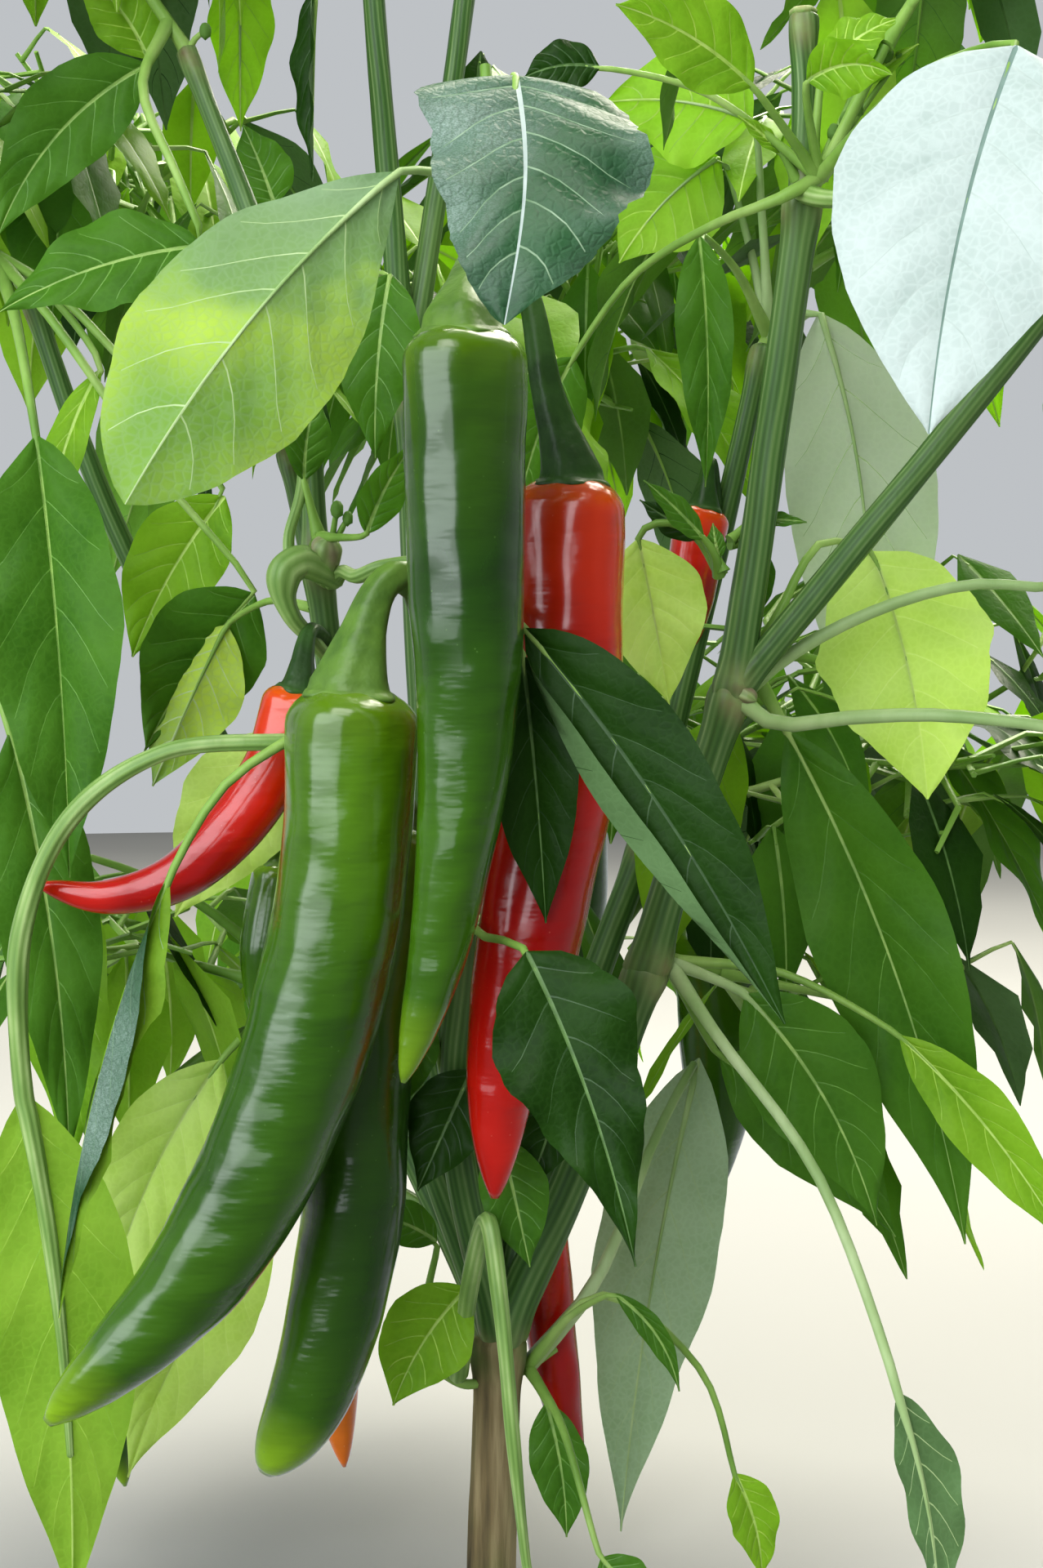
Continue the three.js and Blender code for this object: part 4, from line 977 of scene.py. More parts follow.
# twigs that bear neither a leaf nor a twig are dropped, the last ones first
root_aside = 0.5
root_from, root_to = 0.02, 1.02
for number in reversed(range(len(grown_twigs))):
    points, thick, thin, kind = grown_twigs[number]
    if kind == "rule" and len(points) == 2:
        reach = points[1] - points[0]
        roots = [leaf.stem[0] for leaf in grown_leaves]
        roots += [twig[0][0] for twig in grown_twigs if twig[0] is not points]
        along = (arrays(roots) - points[0]) @ reach / (reach @ reach)
        aside = np.linalg.norm(arrays(roots) - points[0] - along[:, None] * reach, axis=1)
        if not np.any((aside < root_aside) & (along > root_from) & (along < root_to)):
            grown_twigs.pop(number)


# The leaves. A blade is thin and soft, dark and glossy above and paler below, with a pale midrib and six
# side veins that arch towards its long tip. It is made as a closed sheet of two grids that meet at the
# margin, and laid along its own midrib.
class Form:
    """The faces of a mesh that is copied many times: their corners, their sizes and their kinds."""

    def __init__(self, form):
        self.places = arrays([vertex.co for vertex in form.verts])
        form.verts.index_update()
        self.corners = np.array([vertex.index for face in form.faces for vertex in face.verts])
        self.sizes = np.array([len(face.verts) for face in form.faces])
        self.middles = arrays([face.calc_center_median() for face in form.faces])
        self.kinds = np.zeros(len(self.sizes), int)
        form.free()


sharp_angle = math.radians(80)


def joined_piece(name, copies, materials):
    """One piece of many copies, each a form, the places of its vertices and its faces' materials."""
    starts = np.cumsum([0] + [len(places) for form, places, kinds in copies])
    corners = np.concatenate([copy[0].corners + start for copy, start in zip(copies, starts)])
    sizes = np.concatenate([form.sizes for form, places, kinds in copies])
    mesh = bpy.data.meshes.new(name)
    mesh.vertices.add(starts[-1])
    mesh.loops.add(len(corners))
    mesh.polygons.add(len(sizes))
    mesh.vertices.foreach_set("co", (np.vstack([copy[1] for copy in copies]) * METRE).ravel())
    mesh.loops.foreach_set("vertex_index", corners)
    mesh.polygons.foreach_set("loop_start", np.concatenate([[0], np.cumsum(sizes)[:-1]]))
    mesh.polygons.foreach_set("material_index", np.concatenate([copy[2] for copy in copies]))
    mesh.update(calc_edges=True)
    piece = new_piece(name, mesh, materials)
    mesh.set_sharp_from_angle(angle=sharp_angle)
    return piece


# the kinds of a blade's faces, each with a finish of its own
above, below, on_midrib, on_vein = range(4)
almost_one = 0.9999


def blade_form(veins, between, across):
    """A closed sheet with narrow rows for the side veins and narrow columns for the midrib."""
    rows = [(0.0, 0)]
    for share in veins:
        last = rows[-1][0]
        rows += [(last + (share - last) * i / (between + 1), 0) for i in range(1, between + 1)]
        rows += [(share, -1), (share, 1)]
    last = rows[-1][0]
    rows += [(last + (1 - last) * i / (between + 1), 0) for i in range(1, between + 2)]
    columns = [-share for share in reversed(across)] + [0.0, 0.0, 0.0] + list(across)
    sheet = bmesh.new()
    for level in (1, -1):
        bmesh.ops.create_grid(sheet, x_segments=len(columns) - 1, y_segments=len(rows) - 1, size=1)
        for vertex in sheet.verts:
            if not vertex.tag:
                vertex.tag = True
                at_margin = max(abs(vertex.co.x), abs(vertex.co.y)) > almost_one
                vertex.co.z = 0 if at_margin else level
        if level < 0:
            under = [face for face in sheet.faces if min(vertex.co.z for vertex in face.verts) < 0]
            bmesh.ops.reverse_faces(sheet, faces=under)
    bmesh.ops.remove_doubles(sheet, verts=sheet.verts, dist=0.0001)
    form = Form(sheet)
    column = np.round((form.places[:, 0] + 1) / 2 * (len(columns) - 1)).astype(int)
    row = np.round((form.places[:, 1] + 1) / 2 * (len(rows) - 1)).astype(int)
    centre = len(columns) // 2
    form.side = np.sign(column - centre)
    form.share = arrays([row_share for row_share, vein in rows])[row]
    form.vein = arrays([vein for row_share, vein in rows])[row]
    form.across = np.abs(arrays(columns))[column]
    form.level = form.places[:, 2]
    stops = arrays([0, *veins, 1])
    place = np.searchsorted(stops, form.share, side="right").clip(1, len(stops) - 1)
    form.between = (form.share - stops[place - 1]) / (stops[place] - stops[place - 1])
    face_column = (form.middles[:, 0] + 1) / 2 * (len(columns) - 1)
    face_row = (form.middles[:, 1] + 1) / 2 * (len(rows) - 1)
    lower_row = np.floor(face_row).astype(int)
    in_vein = arrays([vein for row_share, vein in rows])[lower_row] < 0
    in_midrib = np.abs(face_column - centre) < 1
    inside = np.abs(face_column - centre) < centre - 1
    form.kinds = np.where(form.middles[:, 2] < 0, below, above)
    form.kinds = np.where(in_vein & inside, on_vein, form.kinds)
    form.kinds = np.where(in_midrib, on_midrib, form.kinds)
    return form


full_blade = blade_form((0.06, 0.17, 0.3, 0.44, 0.59, 0.75), 4, (0.1, 0.27, 0.46, 0.66, 0.85, 1.0))
small_blade = blade_form((), 6, (0.55, 1.0))
blade_thickness = 0.3
midrib_half = 0.6
vein_half = 0.24
vein_shear = 0.85
# how a blade lies unless its leaf says otherwise, with angles in degrees
plain_look = dict(fold=16, cup=-16, wave=0.05, waves=3.2, twist=14, edge=(0, 0), teeth=0, under=False,
    wide=1, stout=(1, 1), lop=0, sway=0, quilt=1, outline=(0.85, 1.28), uneven=1)
fine_soft = 0.45
vein_offset = 0.022
vein_wander = 0.012
tooth_depth = 0.06
teeth_along = 19
margin_uneven = 0.035
least_width = 0.25
quilt_depth = 0.014
# how far the midrib stands out below and is sunk above, and how deep the side veins are sunk
rib_below, rib_above = 0.55, -0.12
vein_sunk = 0.1


def arc(start, bend, reach):
    """How far a strip reaches out and up when its slope changes evenly along it."""
    bend = bend + 0.0001
    out = (np.sin(start + bend * reach) - np.sin(start)) / bend
    return out, (np.cos(start) - np.cos(start + bend * reach)) / bend


def upper_side(leaf):
    """Which way the upper side of a leaf lies: 1 along its side's cross product, -1 against it."""
    over = np.cross(leaf.along_midrib(0), leaf.side)
    facing = camera_place - leaf.base if leaf.kind == "placed" else arrays([0, 0, 1])
    turned = 1 if over @ facing > 0 else -1
    return -turned if leaf.size.get("look", {}).get("under") else turned


def laid_blade(form, leaf, seed):
    """Where a form's vertices lie on one leaf."""
    chance = np.random.default_rng(seed)
    look = plain_look | leaf.size.get("look", {})
    lean = chance.uniform(0.6, 1.4, 4)
    size, width = leaf.blade, leaf.width * look["wide"] / 2
    outward = form.across
    rise = vein_shear * outward**1.25 * form.share**0.65 * (1 - form.share) * (1 - outward**6 * 0.3)
    narrow = form.vein * vein_half / size * (1 - 0.7 * outward)
    uneven = vein_offset * form.side * np.sin(math.pi * form.share)
    uneven = uneven + vein_wander * np.sin(form.share * 14 + 9 * lean[3])
    along = np.clip(form.share + rise + narrow + uneven * form.share * (1 - form.share) * 4, 0, 1)
    along = np.where(form.share <= 0, 0, np.where(form.share >= 1, 1, along))
    blunt, long_tip = look["outline"][0] + 0.12 * (lean[1] - 1), look["outline"][1] + 0.2 * (lean[2] - 1)
    widest = blunt / (blunt + long_tip)
    full = width * (along / widest) ** blunt * ((1 - along) / (1 - widest)) ** long_tip
    full = full * (1 + look["lop"] * form.side * np.sin(math.pi * along))
    teeth = tooth_depth * look["teeth"] * outward**4 * np.abs((along * teeth_along) % 1 - 0.3)
    irregular = waves(along * 100 + 37 * form.side, seed % 50, 14) + 0.6 * waves(along * 100, seed % 37, 5)
    irregular = margin_uneven * look["uneven"] * irregular * outward
    full = np.maximum(full * (1 + irregular - teeth), least_width)
    midrib = np.minimum(midrib_half * (1 - 0.75 * along), full * 0.5)
    reach = np.where(form.side == 0, 0, midrib / full + (1 - midrib / full) * outward)
    soft = fine_soft if leaf.kind == "fine" else 1
    fold, cup = math.radians(look["fold"] * lean[1] * soft), math.radians(look["cup"] * lean[2] * soft)
    lift, start = look["edge"]
    curled = np.where(form.side * lift > 0, math.radians(abs(lift)), 0) * np.sin(math.pi * along) ** 0.25
    near, far = np.minimum(reach, start), np.maximum(reach - start, 0)
    out, up = arc(fold, cup, near)
    folded = arc(fold + cup * start + curled, cup, far)
    bent = (out + folded[0], up + folded[1])
    ripple = look["wave"] * leaf.width * lean[3] * outward**2.2 * np.sin(math.pi * along) ** 0.5
    ripple *= np.sin(2 * math.pi * look["waves"] * along + 5 * lean[0] + form.side * 1.3)
    quilt = quilt_depth * look["quilt"] * leaf.width * np.sin(math.pi * form.between) ** 0.8
    quilt = quilt * np.sin(math.pi * outward**0.8)
    ridge = np.where(form.level < 0, rib_below, rib_above) * (outward == 0) * (1 - 0.8 * along)
    ridge = ridge * np.where(form.side == 0, 1, 0.35) - np.abs(form.vein) * vein_sunk * (1 - outward)
    thick = form.level * blade_thickness / 2 * (1 - 0.6 * outward**2)
    slope = fold + cup * reach + np.where(far > 0, curled, 0)
    ahead = leaf.along_midrib(along)
    over = unit(np.cross(ahead, leaf.side)) * upper_side(leaf)
    side = np.cross(ahead, over)
    twist = np.radians(look["twist"]) * (lean[0] - 0.6) * (along - 0.3) * (-1 if seed % 2 else 1)
    side, over = (side * np.cos(twist)[:, None] + over * np.sin(twist)[:, None],
        over * np.cos(twist)[:, None] - side * np.sin(twist)[:, None])
    raised = np.where(form.level < 0, -ridge, ridge)
    height = full * bent[1] + ripple + quilt + thick * np.cos(slope) + raised
    off = form.side * (full * bent[0] - thick * np.sin(slope))
    off = off + look["sway"] * leaf.width * np.sin(math.pi * along)
    return leaf.midrib(along) + off[:, None] * side + height[:, None] * over


def leaf_face(name, light, dark, low, high, shine, glow, through_share=0.4, painted_light_patches=None, relief=1,
        lower=None):
    """The finish of one side of a blade: a fine net of veins, soft gloss, and light that comes through, with
    painted sunlight or painted sheen in patches and painted sunlight below a height where asked.
    """
    finish = Finish(name, specular_ior_level=0.08, coat_weight=shine, coat_roughness=0.3)
    blotch = finish.noise(45, 3)
    fine = finish.noise(420, 3)
    cells = finish.node("ShaderNodeTexVoronoi", feature="DISTANCE_TO_EDGE", scale=480)
    place = finish.place()
    finish.link(place, cells.inputs["Vector"])
    net = finish.ramp(cells.outputs["Distance"], (0.0, 0.0), (0.22, 1.0))
    tone = finish.spots(blotch, (0.3, 0.7, 1.0), dark, light)
    tone = finish.spots(fine, (0.35, 0.8, 0.35), tone, light)
    painted_sun_mask = (1.0, 1.0, 1.0)
    # painted sunlight: below a height the tone turns to a sunlit colour, and only there may the patches fall
    if lower:
        painted_sun_colour, low_height, high_height = lower
        apart = finish.node("ShaderNodeSeparateXYZ")
        finish.link(place, apart.inputs["Vector"])
        height = finish.mix(0.06, apart.outputs["Z"], finish.noise(40, 2))
        lowest = finish.ramp(height, (low_height + 0.02, 1.0), (high_height + 0.02, 0.0))
        tone = finish.mix(lowest, tone, painted_sun_colour)
        painted_sun_mask = finish.ramp(height, (low_height + 0.03, 1.0), (low_height + 0.04, 0.0))
    # painted light in patches: patches of painted sunlight, or patches of painted sheen broken by painted
    # glints
    if painted_light_patches:
        painted_light_colour, patch_scale, least, most, grain = painted_light_patches
        patch = finish.ramp(finish.noise(patch_scale, 2), (least, 0.0), (most, 1.0))
        patch = finish.mix(1.0, patch, painted_sun_mask, "MULTIPLY")
        painted_glints = finish.ramp(finish.noise(2200, 2, (1, 1, 1.8)), (0.42, grain), (0.6, 1.0))
        tone = finish.mix(finish.mix(1.0, patch, painted_glints, "MULTIPLY"), tone, painted_light_colour)
    veinlet = tuple(1.2 * value + 0.006 for value in light)
    finish.colour(finish.mix(net, finish.mix(0.25, tone, veinlet), tone))
    finish.roughness(fine, low, high)
    finish.bump((blotch, 0.0016), (net, 0.00004 * relief), (fine, 0.0001 * relief))
    through = finish.node("ShaderNodeBsdfTranslucent")
    through.inputs["Color"].default_value = (*glow, 1)
    both = finish.node("ShaderNodeMixShader")
    both.inputs["Fac"].default_value = through_share
    finish.link(finish.shader.outputs["BSDF"], both.inputs[1])
    finish.link(through.outputs["BSDF"], both.inputs[2])
    finish.link(both.outputs["Shader"], finish.tree.nodes["Material Output"].inputs["Surface"])
    return finish.material


def leaf_vein(name, light, dark):
    finish = Finish(name, roughness=0.45, specular_ior_level=0.3)
    finish.colour(finish.spots(finish.noise(180, 2), (0.35, 0.65, 1.0), dark, light))
    finish.bump((finish.noise(500, 2), 0.0001))
    return finish.material


dull_glow = (0.12, 0.26, 0.02)
green_glow = (0.28, 0.5, 0.035)
sunny_glow = (0.5, 0.8, 0.04)
lit_glow = (0.76, 0.96, 0.2)
leaf_finishes = [
    leaf_face("leaf_deep", (0.016, 0.058, 0.004), (0.007, 0.03, 0.002), 0.36, 0.52, 0.04, dull_glow, 0.2),
    leaf_face("under_deep", (0.13, 0.24, 0.09), (0.09, 0.18, 0.06), 0.5, 0.68, 0.05, dull_glow, 0.25),
    leaf_vein("rib_deep", (0.1, 0.2, 0.05), (0.05, 0.115, 0.025)),
    leaf_vein("vein_deep", (0.028, 0.08, 0.014), (0.016, 0.052, 0.008)),
    leaf_face("leaf_fresh", (0.085, 0.23, 0.02), (0.04, 0.14, 0.012), 0.36, 0.54, 0.08, green_glow),
    leaf_face("under_fresh", (0.16, 0.31, 0.07), (0.1, 0.21, 0.04), 0.48, 0.66, 0.05, green_glow),
    leaf_vein("rib_fresh", (0.27, 0.43, 0.1), (0.16, 0.3, 0.06)),
    leaf_vein("vein_fresh", (0.12, 0.28, 0.035), (0.07, 0.19, 0.02)),
    leaf_face("leaf_bright", (0.27, 0.47, 0.03), (0.14, 0.32, 0.016), 0.4, 0.6, 0.08, sunny_glow, 0.42),
    leaf_face("under_bright", (0.31, 0.5, 0.05), (0.19, 0.37, 0.028), 0.5, 0.68, 0.05, sunny_glow, 0.42),
    leaf_vein("rib_bright", (0.42, 0.6, 0.13), (0.3, 0.48, 0.07)),
    leaf_vein("vein_bright", (0.35, 0.55, 0.06), (0.2, 0.4, 0.025)),
    # painted sheen: a pale grey-green blade that stands for a silvery reflection
    leaf_face("leaf_silver", (0.5, 0.58, 0.55), (0.36, 0.45, 0.41), 0.4, 0.55, 0.1, dull_glow, 0.05),
    # painted sheen: silvery patches and painted glints on a dark glossy blade
    leaf_face("leaf_gloss", (0.028, 0.1, 0.036), (0.01, 0.05, 0.018), 0.28, 0.42, 0.4, dull_glow, 0.1,
        ((0.34, 0.46, 0.4), 17, 0.48, 0.74, 0.5), 4),
    # patches of painted sunlight on a pale under side
    leaf_face("under_pale", (0.24, 0.4, 0.16), (0.16, 0.3, 0.1), 0.48, 0.66, 0.08, green_glow, 0.3,
        ((0.45, 0.68, 0.05), 15, 0.43, 0.57, 1.0)),
    # painted sunlight: patches of it, and a sunlit colour over the lower part, on a pale under side
    leaf_face("under_misty", (0.25, 0.38, 0.2), (0.18, 0.3, 0.14), 0.45, 0.6, 0.05, green_glow, 0.25,
        ((0.5, 0.72, 0.08), 13, 0.4, 0.52, 1.0), lower=((0.2, 0.38, 0.06), 0.3, 0.345)),
    leaf_vein("rib_pale", (0.42, 0.56, 0.26), (0.32, 0.47, 0.18)),
    leaf_face("leaf_sunlit", (0.72, 0.86, 0.32), (0.52, 0.72, 0.14), 0.45, 0.6, 0.04, lit_glow, 0.5),
    leaf_face("vein_sunlit", (0.8, 0.9, 0.4), (0.62, 0.8, 0.2), 0.45, 0.6, 0.04, (0.8, 0.98, 0.3), 0.55),
    # the midrib and pale veins that go with the painted sheen, the pale veins painted to match it
    leaf_vein("rib_silver", (0.15, 0.24, 0.2), (0.11, 0.19, 0.15)),
    leaf_vein("vein_silver", (0.44, 0.52, 0.48), (0.36, 0.44, 0.4)),
    leaf_vein("vein_gloss", (0.26, 0.38, 0.24), (0.1, 0.2, 0.09)),
    # painted glow: a near-white under side that stands for one lit from behind
    leaf_face("leaf_milky", (0.85, 0.9, 0.78), (0.7, 0.78, 0.62), 0.48, 0.64, 0.04, (0.9, 0.98, 0.78), 0.55),
    # painted light: an under side made paler as if lit
    leaf_face("under_dim", (0.42, 0.56, 0.36), (0.3, 0.44, 0.25), 0.48, 0.64, 0.04, green_glow, 0.2),
]
finish_at = {material.name: number for number, material in enumerate(leaf_finishes)}
# each tint's finishes above and below, on the midrib and on the side veins
tints = dict(
    deep=("leaf_deep", "under_deep", "rib_deep", "vein_deep"),
    fresh=("leaf_fresh", "under_fresh", "rib_fresh", "vein_fresh"),
    bright=("leaf_bright", "under_bright", "rib_bright", "vein_bright"),
    # painted sheen above, and patches of painted sunlight below
    silver=("leaf_silver", "under_pale", "rib_silver", "vein_silver"),
    # painted sheen and glints above, and patches of painted sunlight below
    gloss=("leaf_gloss", "under_pale", "vein_silver", "vein_gloss"),
    # painted sunlight on the under side
    pale=("leaf_fresh", "under_misty", "rib_pale", "rib_pale"),
    sunlit=("leaf_sunlit", "leaf_sunlit", "vein_sunlit", "vein_sunlit"),
    # painted glow on the under side
    milky=("leaf_fresh", "leaf_milky", "rib_pale", "rib_pale"),
    # painted shade: a deep leaf whose midrib is darkened like its side veins
    dusk=("leaf_deep", "under_deep", "vein_deep", "vein_deep"),
    ash=("leaf_fresh", "under_deep", "rib_pale", "rib_pale"),
    # painted sheen and glints on the under side
    rolled=("leaf_bright", "leaf_gloss", "rib_bright", "vein_gloss"),
    # painted light on the under side
    dim=("leaf_fresh", "under_dim", "rib_pale", "rib_pale"),
)
tint_chances = (("deep", 0.18), ("fresh", 0.37), ("bright", 0.45))
tint_seed = 4000


def tint_of(leaf, seed):
    """A leaf's tint: its own, or one dealt out by its number."""
    if "tint" in leaf.size:
        return leaf.size["tint"]
    share = np.random.default_rng(seed + tint_seed).random()
    total = 0
    for tint, chance in tint_chances:
        total += chance
        if share < total:
            return tint
    return "fresh"


def dressed(form, leaf, seed):
    """A leaf's blade: its form, where its vertices lie, and the finish of each face."""
    finishes = np.array([finish_at[name] for name in tints[tint_of(leaf, seed)]])
    return form, laid_blade(form, leaf, seed), finishes[form.kinds]


# The stalks and twigs: green, slender, lightly grooved, and a little thicker at the foot.
def tube_form(name, around, along):
    """A tube to be copied: its faces, and each vertex's angle round it and share of the way along."""
    mesh, angle, ring = tube_mesh(name, around, along)
    sheet = bmesh.new()
    sheet.from_mesh(mesh)
    return Form(sheet), angle, ring / along


stalk_form = tube_form("stalk_form", 8, 18)
sprig_form = tube_form("sprig_form", 5, 4)


def laid_tube(points, start, end, fine=False, swell=0.0, on_blade=0):
    """A tube's vertices along a line of points, from one radius to another, thinning out on the blade."""
    form, angle, share = sprig_form if fine else stalk_form
    line = Line(points)
    shares = np.unique(share)
    side, up = frames_along(line.ahead(shares))
    ring = np.searchsorted(shares, share)
    blade_at = 1 - on_blade / line.length
    thin = (0.5 * end, 0.2) if on_blade else (end, end)
    places = (0, blade_at, 1.0001 - 0.65 * on_blade / line.length, 1.0002)
    radius = np.interp(share, places, (start, end, *thin)) + swell * bump_at(share, 0, 0.12)
    radius = radius * (1 + 0.08 * np.cos(2 * angle))
    return form, line.at(shares)[ring] + radius[:, None] * spokes(angle, side[ring], up[ring]), form.kinds


def stalk_finish(name, dull, usual, pale):
    finish = Finish(name, roughness=0.42, specular_ior_level=0.25)
    grain = finish.noise(300, 3, (1, 1, 0.3))
    slow = finish.noise(30, 2)
    shade = finish.ramp(slow, (0.3, dull), (0.5, usual), (0.72, pale))
    finish.colour(finish.spots(grain, (0.4, 0.8, 0.4), shade, dull))
    finish.bump((grain, 0.00025))
    return finish.material


leaf_stalk = stalk_finish("leaf_stalk", (0.11, 0.24, 0.03), (0.22, 0.39, 0.07), (0.4, 0.55, 0.17))
pale_stalk = stalk_finish("pale_stalk", (0.2, 0.34, 0.1), (0.34, 0.48, 0.2), (0.5, 0.63, 0.33))
stalk_on_blade = (0.05, 0.14, 0.28, 0.48, 0.7)


def under_blade(leaf, radius):
    """Points along a midrib, sunk into the under side of the blade."""
    shares = arrays(stalk_on_blade)
    down = -unit(np.cross(leaf.along_midrib(shares), leaf.side)) * upper_side(leaf)
    return leaf.midrib(shares) + down * (0.1 + 0.6 * radius * (1 - shares / 0.75))[:, None]


# how thick the stalks and twigs are at their two ends
stalk_low, stalk_high = 1.45, 0.85
fine_low, fine_high = 0.9, 0.4
twig_low, twig_high = 0.8, 0.65
stalk_swell = 0.5
pale_stalk_from = 1.3
ribbed_stalks = []
stalk_copies = []
fine_blades = []
fine_stalks = []
for number, leaf in enumerate(grown_leaves):
    look = plain_look | leaf.size.get("look", {})
    stem = [leaf.stem[0], *arrays(look["via"]), leaf.base] if "via" in look else leaf.stem
    if leaf.kind == "fine":
        fine_blades.append(dressed(small_blade, leaf, number))
        ends = leaf.midrib(arrays([0.05, 0.12]))
        fine_stalks.append(laid_tube([*stem, *ends], fine_low, fine_high, fine=True))
    elif "ribbed" in look:
        ribbed_stalks.append((leaf, stem))
    else:
        stout = 0.8 + 0.25 * leaf.blade / 80
        low, high = stalk_low * stout * look["stout"][0], stalk_high * stout * look["stout"][1]
        form, places, kinds = laid_tube([*stem, *under_blade(leaf, high)], low, high, swell=stalk_swell,
            on_blade=leaf.blade * stalk_on_blade[-1])
        stalk_copies.append((form, places, kinds + (look["under"] or look["stout"][1] > pale_stalk_from)))
for points, start, end, kind in grown_twigs:
    if kind == "fine":
        fine_stalks.append(laid_tube(points, start, end, fine=True))
    else:
        stalk_copies.append(laid_tube(points, start * twig_low, end * twig_high, swell=stalk_swell))
for mass in masses:
    copies = [dressed(full_blade, leaf, number) for number, leaf in enumerate(grown_leaves)
        if leaf.mass == mass["name"] and leaf.kind != "fine"]
    piece = joined_piece(mass["name"].replace("leaves", "blades"), copies, leaf_finishes)
    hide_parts(mass["name"])
joined_piece("fine_blades", fine_blades, leaf_finishes)
joined_piece("fine_stalks", fine_stalks, [leaf_stalk])
joined_piece("stalks_and_twigs", stalk_copies, [leaf_stalk, pale_stalk])


# Small shoots at the joints: pairs of young leaves and stout stalks that bulge where they leave the bough.
# They are soft and green, and browner at the swelling. The shoots' leaves are given by their ends.
class ShootLeaf(Leaf):
    """A young leaf given by its two ends and the way its upper side faces."""

    def __init__(self, stem, tip, width, face, tint, bow=0.08, **look):
        self.size = dict(tint=tint, look=look)
        self.stem = [arrays(point) for point in stem]
        self.base, self.tip = self.stem[-1], arrays(tip)
        self.blade, self.width = np.linalg.norm(self.tip - self.base), width
        face = unit(arrays(face))
        self.bow = (self.base + self.tip) / 2 + face * self.blade * bow
        self.side = unit(np.cross(self.tip - self.base, face))
        self.kind = "placed"


shoot_leaves = [
    ShootLeaf([(57, -17, 270), (55.5, -21, 275), (52.8, -22, 278.9)], (37.5, -30, 292.7), 8, (0.2, -1, 0.5),
        "fresh"),
    ShootLeaf([(57, -17, 271), (55, -17, 276), (52.9, -16, 279.6)], (37.5, -12, 289.1), 8, (0, -1, -0.6),
        "deep"),
    ShootLeaf([(58, -15, 270), (51, -15, 280.3), (43.9, -16, 283.3), (38.8, -16, 282), (37, -15, 279.4)],
        (45, -12, 238), 27, (0.1, -1, 0.1), "sunlit"),
    ShootLeaf([(58, -19, 271), (56.8, -18.5, 274)], (55.3, -18, 283), 5, (-0.3, -1, 0.1), "fresh"),
    ShootLeaf([(60, -13, 279), (66, -10, 284)], (79.5, -10, 283.6), 5.5, (0, -1, 0.8), "fresh"),
    ShootLeaf([(60, -12, 278), (66.5, -9, 278.5)], (68.2, -8, 260.5), 9, (0.6, -1, 0), "fresh"),
    ShootLeaf([(79, -22, 366), (79.5, -24, 380), (81, -25, 392)], (99, -28, 403), 14, (-0.2, -1, 0.5),
        "bright", 0.25),
    ShootLeaf([(81, -22, 366), (86, -22, 378), (90, -22, 388)], (104, -24, 398), 5, (0, -1, 0.6), "bright"),
    ShootLeaf([(75, -22, 366), (71, -24, 372)], (60, -28, 380), 5, (0, -1, 0.4), "bright"),
    ShootLeaf([(-37, -19, 222), (-45, -12, 230), (-52, -8, 231)], (-80, -8, 184), 30, (0.2, -1, 0.3),
        "sunlit"),
    ShootLeaf([(-43, -24, 262), (-55, -12, 264), (-67, -2, 258)], (-86, -4, 217), 24, (0, -1, 0.2), "pale",
        under=True),
    ShootLeaf([(2, -4, 112), (-4, -22, 140), (-4, -36, 150)], (-17, -44, 122), 20, (0, -1, 0.3), "deep"),
    ShootLeaf([(2, -4, 112), (0, -28, 128), (3, -40, 134)], (10, -46, 104), 17, (0.1, -1, 0.3), "fresh"),
    ShootLeaf([(-8, -22, 130), (-14, -32, 160), (-17, -36, 168)], (-24, -34, 138), 16, (0, -1, 0.2),
        "fresh"),
    ShootLeaf([(30, -7, 145), (24, -26, 152), (20, -34, 150)], (10, -40, 122), 18, (0, -1, 0.2), "deep"),
]
shoot_seed = 900
shoot_low, shoot_high = 1.2, 0.8
shoot_swell = 0.4
shoot_blades = [dressed(full_blade, leaf, shoot_seed + number) for number, leaf in enumerate(shoot_leaves)]
joined_piece("shoot_blades", shoot_blades, leaf_finishes)
shoot_stalks = [laid_tube([*leaf.stem, *under_blade(leaf, shoot_high)], shoot_low, shoot_high,
    swell=shoot_swell, on_blade=leaf.blade * stalk_on_blade[-1]) for leaf in shoot_leaves]
joined_piece("shoot_stalks", shoot_stalks, [leaf_stalk])


stub_around = 36
stub_step = 0.7


def grow_stub(name, points, radii, brown=0.0):
    """A stout stalk with rounded ends, its radii spaced evenly along it."""
    line = Line(points)
    share = np.linspace(0, 1, round(line.length / stub_step))
    full = np.interp(share, np.linspace(0, 1, len(radii)), radii)
    full = np.convolve(np.pad(full, 3, "edge"), np.ones(7) / 7, "valid")
    to_end = np.minimum(share, 1 - share) * line.length
    full = np.maximum(full * np.sqrt(1 - (1 - np.minimum(to_end / full, 1)) ** 2), 0.1)

    def surface(angle, ring):
        return full[ring] * (1 + 0.05 * np.cos(7 * angle) + 0.05 * np.sin(2 * angle + ring / 9))

    mesh, angle, ring = lofted(name, stub_around, line.at(share), line.ahead(share), surface)
    set_values(mesh, "rib", 0.5 + 0.2 * np.cos(9 * angle) + 0.2 * np.sin(2 * angle + ring / 7))
    near = np.exp(-((share[ring] - brown) * line.length / 5) ** 2) if brown else 0 * share[ring]
    set_values(mesh, "joint", near * (0.6 + 0.4 * np.sin(3 * angle + ring / 4)))
    new_piece(name, mesh, [young_rind])


